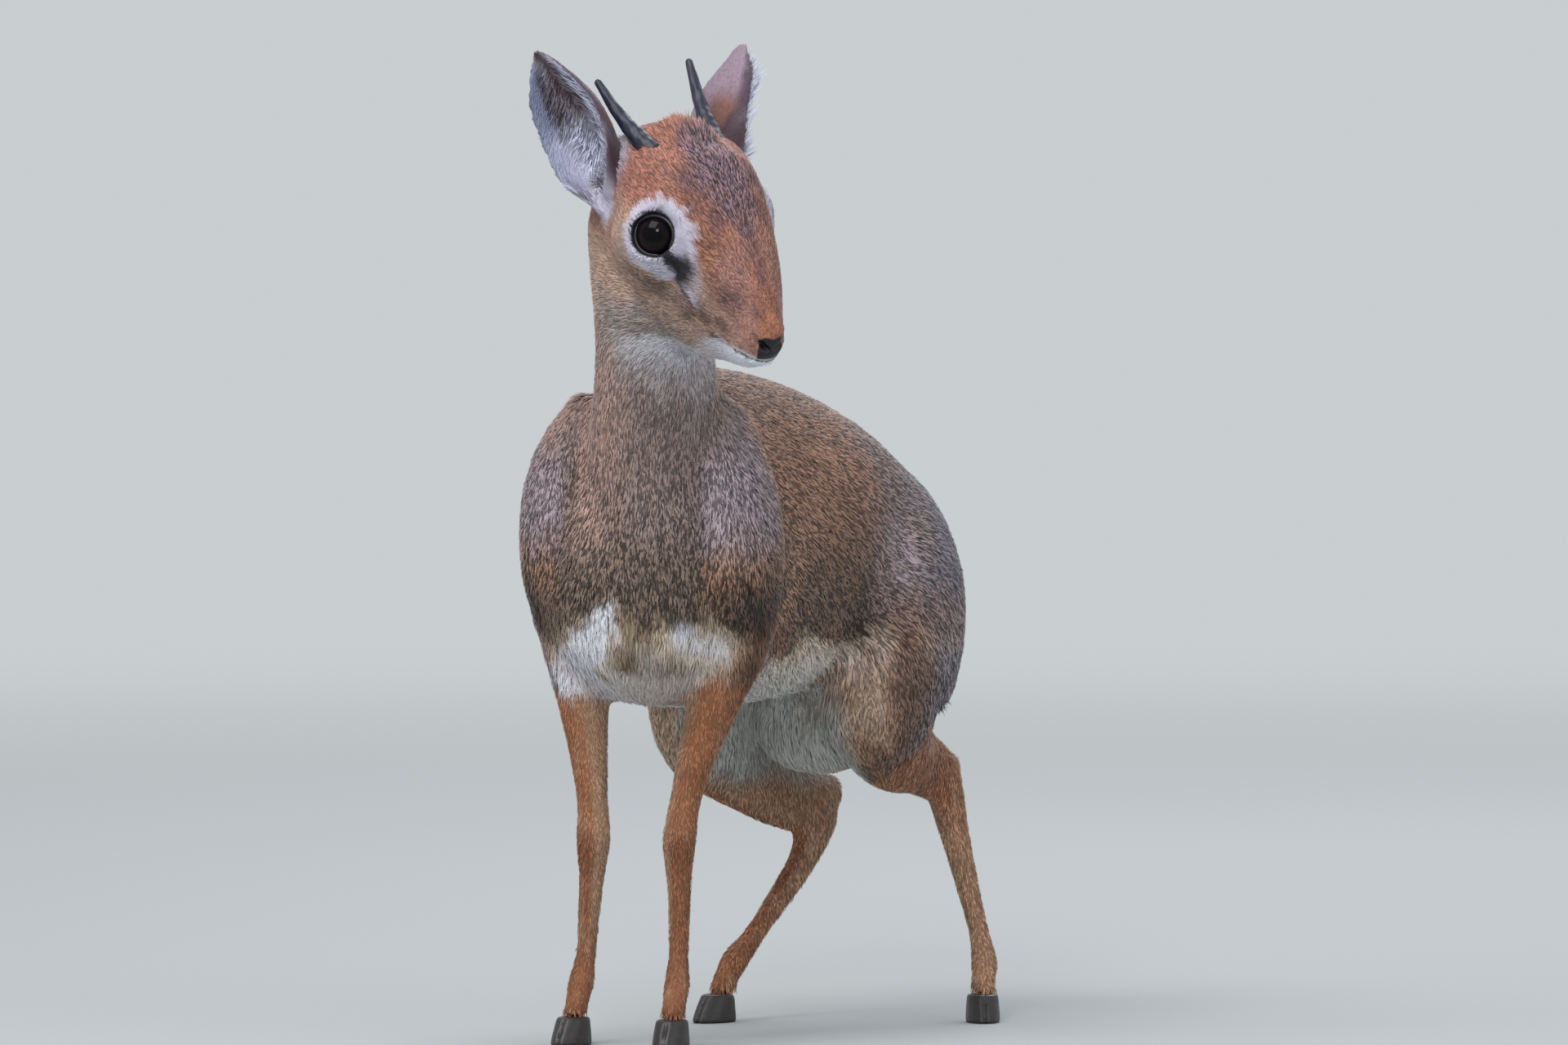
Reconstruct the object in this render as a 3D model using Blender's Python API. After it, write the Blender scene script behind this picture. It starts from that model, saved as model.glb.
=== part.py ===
"""A dik-dik standing with its hind legs spread and its head turned to its left, life size.

Metres, +Z up. The animal faces -Y, so +X is its own left side. Its body bends a little to the left as
seen from above. The flesh is modelled whole from smooth tubes, fused, and then parted by thin cuts.
"""

import math

import bmesh
import bpy
import numpy as np
from mathutils import Matrix, Vector
from mathutils.bvhtree import BVHTree

# Gap that parted pieces keep.
GAP = 0.0003
# Triangles of the fused body and of the fused head with its ears, before they are parted.
BODY_TRIANGLES = 4900
HEAD_TRIANGLES = 3950
SEED = 5

# Torso: the midline runs backwards from the chest. Each row is one cross-section:
# distance behind the chest, height of the back, height of the belly, half width, egg shape
# (negative is widest low down).
CHEST_X = -0.006
FRONT_TURN = math.radians(8.0)
WHOLE_TURN = math.radians(-31.0)
TRUNK_LENGTH = 0.340
TORSO = [
    (0.003, 0.246, 0.216, 0.012, 0.0),
    (0.011, 0.268, 0.198, 0.032, 0.0),
    (0.028, 0.302, 0.184, 0.047, -0.05),
    (0.052, 0.334, 0.175, 0.057, -0.08),
    (0.088, 0.347, 0.171, 0.063, -0.10),
    (0.130, 0.346, 0.169, 0.067, -0.12),
    (0.180, 0.340, 0.171, 0.069, -0.12),
    (0.225, 0.329, 0.173, 0.067, -0.06),
    (0.265, 0.313, 0.177, 0.060, 0.0),
    (0.300, 0.291, 0.187, 0.047, 0.0),
    (0.325, 0.266, 0.206, 0.031, 0.0),
    (0.337, 0.248, 0.218, 0.012, 0.0),
]

# Head: placed by the tip of the nose, its turn from straight ahead, how far the nose points down
# and how far the crown leans over.
NOSE_TIP = Vector((0.0880, -0.0294, 0.3638))
HEAD_TURN = math.radians(60.0)
HEAD_DIP = math.radians(26.0)
HEAD_LEAN = math.radians(-6.0)

# Sections of the head: distance behind the nose tip, height of the profile line, height of the
# lower jaw line, half width, egg shape.
HEAD = [
    (0.0000, 0.0020, -0.0080, 0.0050, 0.0),
    (0.0020, 0.0060, -0.0120, 0.0082, 0.0),
    (0.0050, 0.0095, -0.0155, 0.0102, 0.0),
    (0.0100, 0.0155, -0.0200, 0.0122, 0.04),
    (0.0170, 0.0242, -0.0225, 0.0154, 0.12),
    (0.0280, 0.0355, -0.0255, 0.0196, 0.22),
    (0.0430, 0.0475, -0.0310, 0.0238, 0.34),
    (0.0580, 0.0580, -0.0360, 0.0272, 0.44),
    (0.0720, 0.0665, -0.0385, 0.0302, 0.40),
    (0.0860, 0.0712, -0.0360, 0.0326, 0.32),
    (0.1000, 0.0718, -0.0300, 0.0338, 0.18),
    (0.1140, 0.0680, -0.0190, 0.0310, 0.05),
    (0.1280, 0.0590, -0.0060, 0.0255, 0.0),
    (0.1380, 0.0460, 0.0060, 0.0170, 0.0),
    (0.1440, 0.0340, 0.0160, 0.0080, 0.0),
]
HEAD_SQUARE = 0.84
EYE_BACK = 0.0720
EYE_UP = 0.0270
EYE_OUT = 0.0278
EYE_RADIUS = 0.0125
EYE_FORWARD = math.radians(28.0)
EYE_RAISE = math.radians(24.0)
LID_OPENING = 0.0104
LID_RIM = 0.0124
LID_THICK = 0.0015
LID_PLANE = 0.0094
ORBIT = (0.0280, 0.0255, 0.0188)
ORBIT_SINK = 0.0085

# The crest: upright tapered locks on a low swelling of the crown, in rows from front to back.
CREST_PLACE = Vector((0.0, 0.099, 0.055))
CREST_RADII = (0.0180, 0.021, 0.0185)
LOCK_ROWS = 4
LOCKS_IN_ROW = 5
LOCK_LENGTH = 0.0200
LOCK_WIDTH = 0.0042
LOCK_THICK = 0.0016
LOCK_SINK = 0.0050
LOCK_STEP = (0.0052, 0.0058)

# The line of the mouth, from the middle to its corner, and a nostril, both on the left of the head.
MOUTH = [
    Vector((0.0000, 0.0015, -0.0126)),
    Vector((0.0070, 0.0045, -0.0108)),
    Vector((0.0112, 0.0140, -0.0096)),
    Vector((0.0140, 0.0270, -0.0080)),
]
MOUTH_CUT = 0.00055
LIP_RADIUS = 0.0017
LIP_APART = 0.0019
NOSTRIL = Vector((0.0050, 0.0008, -0.0022))
NOSTRIL_WAY = Vector((0.0060, 0.0068, 0.0058))
NOSTRIL_RADII = (0.0046, 0.0013, 0.0015)
GLAND = Vector((0.0258, 0.0520, 0.0170))
GLAND_RADII = (0.0012, 0.0026, 0.0034)

# Ears, right (-1) and left (1): the left one leans further out.
EAR_ROOT = {-1: Vector((0.021, 0.1120, 0.023)), 1: Vector((0.022, 0.1120, 0.026))}
EAR_REACH = {-1: Vector((0.0415, 0.0500, 0.0620)), 1: Vector((0.0650, 0.0455, 0.0475))}
EAR_FACING = Vector((0.86, -0.36, -0.20))
EAR_WALL = 0.0026
# How far the tip of an ear stays back from its open side.
EAR_TIP_BACK = 0.0085
# Sections of the ear: share of its length, half breadth, how far the edges curl round (degrees).
EAR = [
    (0.00, 0.0098, 165.0),
    (0.14, 0.0124, 156.0),
    (0.30, 0.0190, 112.0),
    (0.48, 0.0232, 84.0),
    (0.63, 0.0230, 72.0),
    (0.78, 0.0186, 64.0),
    (0.90, 0.0112, 54.0),
    (0.96, 0.0070, 48.0),
    (1.00, 0.0026, 44.0),
]

HORN_ROOT = Vector((0.0200, 0.1000, 0.0600))
HORN_REACH = {-1: Vector((0.0090, 0.0420, 0.0190)), 1: Vector((0.0095, 0.0440, 0.0230))}
HORN_RADIUS = 0.0056
HORN_TIP = 0.0019
HORN_RINGS = 6

# Neck: centre, half width, half depth, from inside the chest to the back of the head.
NECK = [
    (-0.004, 0.080, 0.236, 0.0500, 0.072),
    (-0.006, 0.064, 0.276, 0.0430, 0.063),
    (-0.004, 0.048, 0.314, 0.0345, 0.048),
    (0.000, 0.035, 0.348, 0.0305, 0.0385),
    (0.001, 0.028, 0.380, 0.0295, 0.0355),
    (-0.002, 0.026, 0.408, 0.0285, 0.0330),
    (-0.005, 0.025, 0.430, 0.0250, 0.0290),
    (-0.006, 0.024, 0.444, 0.0170, 0.0200),
]

# Legs: joint centres with half width (side to side) and half depth (front to back).
FORE_RIGHT = [
    (-0.040, 0.080, 0.322, 0.0190, 0.032),
    (-0.0510, 0.062, 0.284, 0.0265, 0.040),
    (-0.0525, 0.055, 0.247, 0.0260, 0.036),
    (-0.0500, 0.058, 0.212, 0.0210, 0.026),
    (-0.0475, 0.056, 0.180, 0.0140, 0.0185),
    (-0.0430, 0.053, 0.148, 0.0100, 0.0125),
    (-0.0400, 0.051, 0.122, 0.0083, 0.0092),
    (-0.0390, 0.049, 0.104, 0.0092, 0.0100),
    (-0.0400, 0.0495, 0.090, 0.0076, 0.0080),
    (-0.0420, 0.050, 0.064, 0.0062, 0.0068),
    (-0.0435, 0.049, 0.043, 0.0060, 0.0064),
    (-0.0450, 0.047, 0.031, 0.0076, 0.0078),
    (-0.0455, 0.042, 0.021, 0.0066, 0.0066),
    (-0.0460, 0.038, 0.008, 0.0082, 0.0080),
]
FORE_LEFT = [
    (0.018, 0.082, 0.322, 0.0150, 0.030),
    (0.032, 0.060, 0.282, 0.0230, 0.037),
    (0.0360, 0.056, 0.247, 0.0240, 0.035),
    (0.0320, 0.064, 0.212, 0.0205, 0.026),
    (0.0240, 0.061, 0.180, 0.0140, 0.0185),
    (0.0150, 0.055, 0.148, 0.0100, 0.0125),
    (0.0100, 0.050, 0.122, 0.0083, 0.0092),
    (0.0085, 0.047, 0.105, 0.0092, 0.0100),
    (0.0085, 0.0470, 0.091, 0.0076, 0.0080),
    (0.0085, 0.047, 0.064, 0.0062, 0.0068),
    (0.0085, 0.046, 0.043, 0.0060, 0.0064),
    (0.0085, 0.044, 0.031, 0.0076, 0.0078),
    (0.0088, 0.039, 0.021, 0.0066, 0.0066),
    (0.0090, 0.035, 0.008, 0.0082, 0.0080),
]
HIND_RIGHT = [
    (0.004, 0.280, 0.288, 0.0120, 0.020),
    (-0.008, 0.276, 0.266, 0.0235, 0.040),
    (-0.022, 0.266, 0.236, 0.0300, 0.050),
    (-0.034, 0.248, 0.204, 0.0290, 0.049),
    (-0.042, 0.226, 0.166, 0.0230, 0.044),
    (-0.038, 0.246, 0.144, 0.0175, 0.034),
    (-0.025, 0.268, 0.124, 0.0125, 0.0240),
    (-0.0065, 0.293, 0.105, 0.0098, 0.0180),
    (-0.0085, 0.288, 0.088, 0.0078, 0.0112),
    (-0.0180, 0.265, 0.060, 0.0062, 0.0076),
    (-0.0260, 0.245, 0.040, 0.0060, 0.0068),
    (-0.0300, 0.233, 0.030, 0.0078, 0.0084),
    (-0.0315, 0.224, 0.021, 0.0068, 0.0070),
    (-0.0330, 0.217, 0.008, 0.0084, 0.0082),
]
HIND_LEFT = [
    (0.030, 0.272, 0.290, 0.0120, 0.020),
    (0.044, 0.266, 0.266, 0.0235, 0.040),
    (0.055, 0.255, 0.236, 0.0300, 0.050),
    (0.057, 0.243, 0.205, 0.0330, 0.050),
    (0.056, 0.222, 0.171, 0.0320, 0.042),
    (0.056, 0.234, 0.150, 0.0230, 0.030),
    (0.060, 0.266, 0.136, 0.0120, 0.0190),
    (0.0625, 0.298, 0.122, 0.0098, 0.0155),
    (0.0690, 0.296, 0.100, 0.0082, 0.0110),
    (0.0805, 0.289, 0.066, 0.0064, 0.0075),
    (0.0890, 0.283, 0.042, 0.0060, 0.0068),
    (0.0930, 0.278, 0.030, 0.0078, 0.0084),
    (0.0950, 0.271, 0.021, 0.0068, 0.0070),
    (0.0965, 0.265, 0.008, 0.0084, 0.0082),
]
# Points of the elbows and hocks, and the groin: centre and radii (across, back, up).
KNOBS = (
    ((0.0160, 0.2400, 0.163), (0.0380, 0.0350, 0.0340)),
    ((-0.0500, 0.0820, 0.203), (0.0120, 0.0140, 0.0170)),
    ((0.0310, 0.0870, 0.203), (0.0120, 0.0140, 0.0170)),
    ((-0.0020, 0.3060, 0.116), (0.0062, 0.0080, 0.0110)),
    ((0.0625, 0.3090, 0.130), (0.0062, 0.0080, 0.0110)),
)
LEG_SIDES = {
    "foreleg_right": (1.0, 0.0, 0.0),
    "foreleg_left": (1.0, 0.0, 0.0),
    "hindleg_right": (0.96, -0.25, 0.0),
    "hindleg_left": (1.0, 0.0, 0.0),
}
LEGS = {
    "foreleg_right": FORE_RIGHT,
    "foreleg_left": FORE_LEFT,
    "hindleg_right": HIND_RIGHT,
    "hindleg_left": HIND_LEFT,
}

HOOF_LENGTH = 0.0250
HOOF_WIDTH = 0.0086
HOOF_TOP = 0.0150
HOOF_SPLIT = 0.0006
HOOF_HEEL = 0.0078
# Where each hoof points in plan, in degrees from straight ahead toward its left.
HOOF_TURN = {
    "foreleg_right": -8.0,
    "foreleg_left": 4.0,
    "hindleg_right": -20.0,
    "hindleg_left": 24.0,
}

TAIL = [
    (0.0330, 0.312, 0.262, 0.0095, 0.009),
    (0.0380, 0.328, 0.257, 0.0095, 0.008),
    (0.0420, 0.339, 0.244, 0.0085, 0.007),
    (0.0440, 0.343, 0.230, 0.0065, 0.006),
    (0.0445, 0.343, 0.217, 0.0030, 0.0025),
]

# Where the flesh is parted: a point on the cut, the direction into the piece, and how far the piece
# reaches across, along and away from the cut.
REGIONS = {
    "head": ((-0.002, 0.024, 0.3640), (0.38, -0.10, 0.92), (0.20, 0.20, 0.30)),
    "neck": ((-0.005, 0.045, 0.3160), (0.0, -0.55, 0.835), (0.20, 0.20, 0.40)),
    "tail": ((0.0405, 0.3360, 0.236), (0.30, 0.95, 0.0), (0.03, 0.04, 0.04)),
}
# Each leg is cut along a slanting line seen from the front, from its inner to its outer end (x, z),
# between two limits from front to back.
LEG_CUTS = {
    "foreleg_right": ((-0.0150, 0.164), (-0.0900, 0.234), (-0.03, 0.104)),
    "foreleg_left": ((-0.0140, 0.164), (0.0820, 0.234), (-0.03, 0.104)),
    "hindleg_right": ((0.0252, 0.168), (-0.0900, 0.236), (0.176, 0.40)),
    "hindleg_left": ((0.0255, 0.168), (0.1200, 0.238), (0.176, 0.40)),
}
# The cut at the root of each ear and at the hair line above each hoof.
EAR_CUT = 0.30
EAR_CUT_FACING = Vector((0.80, 0.25, 0.55))
HAIR_LINE = 0.0150

# Colours as seen in the photograph.
COAT_BROWN = (0.30, 0.19, 0.12)
LEG_TAN = (0.42, 0.22, 0.11)
HEAD_TAN = (0.38, 0.21, 0.12)
EAR_GREY = (0.36, 0.30, 0.28)
EYE_BLACK = (0.012, 0.010, 0.012)
HORN_BLACK = (0.045, 0.045, 0.060)
HOOF_BLACK = (0.030, 0.026, 0.024)


def clear_scene():
    for obj in list(bpy.data.objects):
        bpy.data.objects.remove(obj)


def material(name, colour, roughness, metallic=0.0):
    made = bpy.data.materials.new(name)
    made.use_nodes = True
    shader = made.node_tree.nodes["Principled BSDF"]
    shader.inputs["Base Color"].default_value = (*colour, 1.0)
    shader.inputs["Roughness"].default_value = roughness
    shader.inputs["Metallic"].default_value = metallic
    return made


def read_curve(stations, count):
    """`count` rows read from a smooth curve through the stations' rows, evenly spaced along it."""
    rows = np.array(stations, float)
    steps = np.linalg.norm(np.diff(rows[:, :3], axis=0), axis=1)
    at = np.concatenate([[0.0], np.cumsum(steps)])
    slope = np.gradient(rows, at, axis=0)
    wanted = np.linspace(0.0, at[-1], count)
    i = np.clip(np.searchsorted(at, wanted, side="right") - 1, 0, len(at) - 2)
    span = at[i + 1] - at[i]
    t = ((wanted - at[i]) / span)[:, None]
    span = span[:, None]
    return (
        rows[i] * (1 + 2 * t) * (1 - t) ** 2
        + slope[i] * span * t * (1 - t) ** 2
        + rows[i + 1] * t**2 * (3 - 2 * t)
        + slope[i + 1] * span * t**2 * (t - 1)
    )


def mesh_object(name, verts, faces):
    mesh = bpy.data.meshes.new(name)
    mesh.from_pydata([tuple(v) for v in verts], [], faces)
    build = bmesh.new()
    build.from_mesh(mesh)
    bmesh.ops.recalc_face_normals(build, faces=build.faces)
    build.to_mesh(mesh)
    build.free()
    obj = bpy.data.objects.new(name, mesh)
    bpy.context.scene.collection.objects.link(obj)
    return obj


def ring_tube(name, rings):
    """A closed tube through rings of points, with a flat fan over each end."""
    count, sides = len(rings), len(rings[0])
    verts = [p for ring in rings for p in ring]
    faces = []
    for i in range(count - 1):
        for j in range(sides):
            k = (j + 1) % sides
            faces.append((i * sides + j, i * sides + k, (i + 1) * sides + k, (i + 1) * sides + j))
    for first, flip in ((0, True), ((count - 1) * sides, False)):
        centre = len(verts)
        verts.append(np.mean(verts[first : first + sides], axis=0))
        for j in range(sides):
            k = (j + 1) % sides
            faces.append((centre, first + k, first + j) if flip else (centre, first + j, first + k))
    return mesh_object(name, verts, faces)


def limb(name, stations, side, rings=40, sides=20):
    """A tube of oval rings. A station is x, y, z, half width along `side`, half depth, and egg shape."""
    rows = read_curve([(*row, 0.0) if len(row) == 5 else row for row in stations], rings)
    centres = rows[:, :3]
    along = np.gradient(centres, axis=0)
    along /= np.linalg.norm(along, axis=1, keepdims=True)
    side = np.array(side, float)
    across = side - along * (along @ side)[:, None]
    across /= np.linalg.norm(across, axis=1, keepdims=True)
    upward = np.cross(along, across)
    angle = np.linspace(0, 2 * math.pi, sides, endpoint=False)
    loops = []
    for c, a, u, (width, depth, egg) in zip(centres, across, upward, rows[:, 3:]):
        w = width * np.cos(angle) * (1 + egg * np.sin(angle))
        d = depth * np.sin(angle)
        loops.append(c + np.outer(w, a) + np.outer(d, u))
    return ring_tube(name, loops)


def ball(name, centre, radii, axes=Matrix.Identity(3), segments=24, rings=14):
    """An ellipsoid whose axes are the columns of `axes`."""
    build = bmesh.new()
    bmesh.ops.create_uvsphere(build, u_segments=segments, v_segments=rings, radius=1.0)
    turn = axes.to_4x4() @ Matrix.Diagonal((*radii, 1.0))
    bmesh.ops.transform(build, matrix=Matrix.Translation(centre) @ turn, verts=build.verts)
    mesh = bpy.data.meshes.new(name)
    build.to_mesh(mesh)
    build.free()
    obj = bpy.data.objects.new(name, mesh)
    bpy.context.scene.collection.objects.link(obj)
    return obj


def spine(s):
    """(midline point in plan, forward direction, left direction) at distance s behind the chest."""
    turn = WHOLE_TURN / TRUNK_LENGTH
    steps = 60
    x, y = CHEST_X, 0.0
    for i in range(steps):
        middle = s * (i + 0.5) / steps
        way = FRONT_TURN + turn * middle
        x -= math.sin(way) * s / steps
        y += math.cos(way) * s / steps
    way = FRONT_TURN + turn * s
    ahead = Vector((math.sin(way), -math.cos(way), 0))
    left = Vector((math.cos(way), math.sin(way), 0))
    return Vector((x, y, 0)), ahead, left


def torso_tube():
    loops = []
    rows = read_curve([(s, top, low, width, egg) for s, top, low, width, egg in TORSO], 44)
    angle = np.linspace(0, 2 * math.pi, 32, endpoint=False)
    for s, top, low, width, egg in rows:
        place, _, left = spine(s)
        half = (top - low) / 2
        w = width * np.cos(angle) * (1 + egg * np.sin(angle))
        z = (top + low) / 2 + half * np.sin(angle)
        loops.append(np.array([(place.x + left.x * a, place.y + left.y * a, b) for a, b in zip(w, z)]))
    return ring_tube("torso_form", loops)


def head_matrix():
    """From head coordinates (left, back, up from the nose tip) to the world."""
    turn = Matrix.Rotation(HEAD_TURN, 4, "Z")
    dip = Matrix.Rotation(HEAD_DIP, 4, "X")
    lean = Matrix.Rotation(HEAD_LEAN, 4, "Y")
    return Matrix.Translation(NOSE_TIP) @ turn @ dip @ lean


def squared(wave):
    """Bends a sine or cosine so that an oval becomes a little squarer."""
    return np.sign(wave) * np.abs(wave) ** HEAD_SQUARE


def head_tube():
    loops = []
    rows = read_curve(HEAD, 44)
    angle = np.linspace(0, 2 * math.pi, 28, endpoint=False)
    place = head_matrix()
    for back, top, low, width, egg in rows:
        half = (top - low) / 2
        w = width * squared(np.cos(angle)) * (1 + egg * np.sin(angle))
        z = (top + low) / 2 + half * squared(np.sin(angle))
        loops.append(np.array([tuple(place @ Vector((a, back, b))) for a, b in zip(w, z)]))
    return ring_tube("head_form", loops)


def eye_frame(sign):
    """(centre of the eyeball, its axes as columns: sideways, up, out of the head) in the world."""
    place = head_matrix()
    centre = place @ Vector((sign * EYE_OUT, EYE_BACK, EYE_UP))
    out = Vector((
        sign * math.cos(EYE_FORWARD) * math.cos(EYE_RAISE),
        -math.sin(EYE_FORWARD) * math.cos(EYE_RAISE),
        math.sin(EYE_RAISE),
    ))
    out = (place.to_3x3() @ out).normalized()
    up = place.to_3x3() @ Vector((0, 0, 1))
    up = (up - out * up.dot(out)).normalized()
    across = up.cross(out)
    return centre, Matrix((across, up, out)).transposed()


def lid_ring(sign):
    """A soft rim round the opening of the eye."""
    centre, axes = eye_frame(sign)
    loops_round, sides = 28, 10
    verts, faces = [], []
    for i in range(loops_round):
        a = 2 * math.pi * i / loops_round
        for j in range(sides):
            b = 2 * math.pi * j / sides
            radial = LID_RIM + LID_THICK * math.cos(b)
            out = LID_PLANE + LID_THICK * math.sin(b)
            verts.append(centre + axes @ Vector((radial * math.cos(a), radial * math.sin(a), out)))
    for i in range(loops_round):
        for j in range(sides):
            k, m = (i + 1) % loops_round, (j + 1) % sides
            faces.append((i * sides + j, k * sides + j, k * sides + m, i * sides + m))
    return mesh_object("lid_form", verts, faces)


def eye_opening(sign):
    """A cutter that opens the lids: a cone that widens outward."""
    centre, axes = eye_frame(sign)
    rings = []
    for out, radius in ((0.0, 0.90), (0.0065, 1.0), (0.0090, 1.05), (0.0200, 1.6)):
        ring = []
        for i in range(28):
            a = 2 * math.pi * i / 28
            reach = LID_OPENING * radius
            ring.append(tuple(centre + axes @ Vector((reach * math.cos(a), reach * math.sin(a), out))))
        rings.append(np.array(ring))
    cutter = ring_tube("eye_opening", rings)
    cutter.hide_render = True
    cutter.display_type = "WIRE"
    return cutter


def surface_tree(obj):
    build = bmesh.new()
    build.from_mesh(obj.data)
    tree = BVHTree.FromBMesh(build)
    build.free()
    return tree


def swept(name, path, radii, sides=6, rings=14):
    """A thin round tube along a path, with its own radius at each point."""
    stations = [(*point, radius, radius) for point, radius in zip(path, radii)]
    return limb(name, stations, (0.1, 0.2, 1.0), rings=rings, sides=sides)


def mouth_path(lift=0.0):
    """The line of the mouth from corner to corner, in the world, raised by `lift`."""
    half = [point + Vector((0, 0, lift)) for point in MOUTH]
    right = [head_point(-1, point) for point in reversed(half)]
    left = [head_point(1, point) for point in half[1:]]
    return right + left


def lips():
    """A soft roll above and below the line of the mouth."""
    forms = []
    for lift in (LIP_APART, -LIP_APART):
        path = mouth_path(lift)
        inward = head_vector(1, Vector((0, LIP_RADIUS * 0.5, 0)))
        radii = [LIP_RADIUS * (0.6 if i in (0, len(path) - 1) else 1.0) for i in range(len(path))]
        forms.append(swept("lip_form", [point + inward for point in path], radii))
    return forms


def face_cutters(skull):
    """What opens the face: the line of the mouth, the nostrils and the glands before the eyes."""
    tree = surface_tree(skull)
    path = [tree.find_nearest(point)[0] for point in mouth_path()]
    ends = (0, len(path) - 1)
    radii = [MOUTH_CUT * (0.5 if i in ends else 1.0) for i in range(len(path))]
    cutters = [swept("mouth_cut", path, radii, sides=5, rings=18)]
    for sign in (-1, 1):
        place = tree.find_nearest(head_point(sign, NOSTRIL))[0]
        along = head_vector(sign, NOSTRIL_WAY).normalized()
        across = along.cross(head_vector(1, Vector((0, 1, 0)))).normalized()
        turn = Matrix((along, across, along.cross(across))).transposed()
        cutters.append(ball("nostril_cut", place, NOSTRIL_RADII, turn, 10, 8))
        place = tree.find_nearest(head_point(sign, GLAND))[0]
        turn = head_matrix().to_3x3() @ Matrix.Rotation(sign * math.radians(-28), 3, "Z")
        cutters.append(ball("gland_cut", place, GLAND_RADII, turn, 12, 8))
    for cutter in cutters:
        cutter.hide_render = True
        cutter.display_type = "WIRE"
    return cutters


def lock(name, root, way, side, length, bend):
    """A flat tapered lock whose root is sunk in the surface; it bends backwards toward its tip."""
    rings = []
    thick_way = way.cross(side).normalized()
    for t, share in ((0.0, 0.85), (0.4, 1.0), (0.75, 0.72), (1.0, 0.20)):
        centre = root + way * (length * t - LOCK_SINK) + bend * (length * t * t)
        ring = []
        for i in range(5):
            angle = 2 * math.pi * i / 5
            across = side * (math.cos(angle) * LOCK_WIDTH * share)
            deep = thick_way * (math.sin(angle) * LOCK_THICK * max(share, 0.4))
            ring.append(tuple(centre + across + deep))
        rings.append(np.array(ring))
    return ring_tube(name, rings)


def crest_locks(skull):
    """Upright locks between the horns, fanned out and longest in the middle."""
    tree = surface_tree(skull)
    draw = np.random.default_rng(SEED)
    locks = []
    for row in range(LOCK_ROWS):
        for column in range(LOCKS_IN_ROW):
            across = (column - (LOCKS_IN_ROW - 1) / 2 + 0.5 * (row % 2) - 0.25) * LOCK_STEP[0]
            back = 0.087 + row * LOCK_STEP[1] + draw.uniform(-0.0012, 0.0012)
            place = head_point(1, Vector((across, back, 0.090)))
            root = tree.find_nearest(place)[0]
            lean = Vector((across * 24, 0.12 + draw.uniform(-0.1, 0.1), 1.0)).normalized()
            way = head_vector(1, lean)
            side = head_vector(1, Vector((1.0, draw.uniform(-0.3, 0.3), 0.0))).normalized()
            side = (side - way * side.dot(way)).normalized()
            bend = head_vector(1, Vector((0.0, 0.42 + draw.uniform(-0.1, 0.1), -0.12)))
            edge = 1 - 0.30 * (abs(across) / (LOCK_STEP[0] * LOCKS_IN_ROW / 2)) ** 2
            length = LOCK_LENGTH * edge * draw.uniform(0.85, 1.08)
            locks.append(lock("lock_form", root, way, side, length, bend))
    return locks


def united(name, base, forms):
    """`base` joined by one union with all of `forms`, which are removed."""
    group = bpy.data.collections.new("forms")
    bpy.context.scene.collection.children.link(group)
    for form in forms:
        group.objects.link(form)
    obj = bpy.data.objects.new(name, base.data.copy())
    bpy.context.scene.collection.objects.link(obj)
    join = obj.modifiers.new("join", "BOOLEAN")
    join.operation = "UNION"
    join.solver = "EXACT"
    join.operand_type = "COLLECTION"
    join.collection = group
    apply_modifiers(obj)
    drop(*forms)
    bpy.data.collections.remove(group)
    return largest_body(obj)


def evaluated_mesh(obj):
    graph = bpy.context.evaluated_depsgraph_get()
    return bpy.data.meshes.new_from_object(obj.evaluated_get(graph))


def apply_modifiers(obj):
    bpy.context.view_layer.update()
    mesh = evaluated_mesh(obj)
    obj.modifiers.clear()
    obj.data = mesh
    return obj


def joined(name, objects):
    """One object holding all these meshes, which are removed."""
    build = bmesh.new()
    for obj in objects:
        build.from_mesh(obj.data)
        bpy.data.objects.remove(obj)
    mesh = bpy.data.meshes.new(name)
    build.to_mesh(mesh)
    build.free()
    obj = bpy.data.objects.new(name, mesh)
    bpy.context.scene.collection.objects.link(obj)
    return obj


def fuse(obj, voxel, rounds, firm_below=0.15):
    """Fuses overlapping closed meshes into one smooth skin."""
    remesh = obj.modifiers.new("fuse", "REMESH")
    remesh.mode = "VOXEL"
    remesh.voxel_size = voxel
    apply_modifiers(obj)
    group = obj.vertex_groups.new(name="soft")
    for v in obj.data.vertices:
        share = min(1.0, max(0.12, (v.co.z - firm_below + 0.04) / 0.08))
        group.add([v.index], share, "REPLACE")
    smooth = obj.modifiers.new("smooth", "SMOOTH")
    smooth.factor = 0.5
    smooth.iterations = rounds
    smooth.vertex_group = "soft"
    return apply_modifiers(obj)


def thinned(obj, faces):
    """Brings a mesh down to about `faces` triangles."""
    thin = obj.modifiers.new("thin", "DECIMATE")
    thin.ratio = faces / (2 * len(obj.data.polygons))
    thin.use_collapse_triangulate = True
    return apply_modifiers(obj)


def head_point(sign, local):
    return head_matrix() @ Vector((sign * local.x, local.y, local.z))


def head_vector(sign, local):
    return head_matrix().to_3x3() @ Vector((sign * local.x, local.y, local.z))


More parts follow.
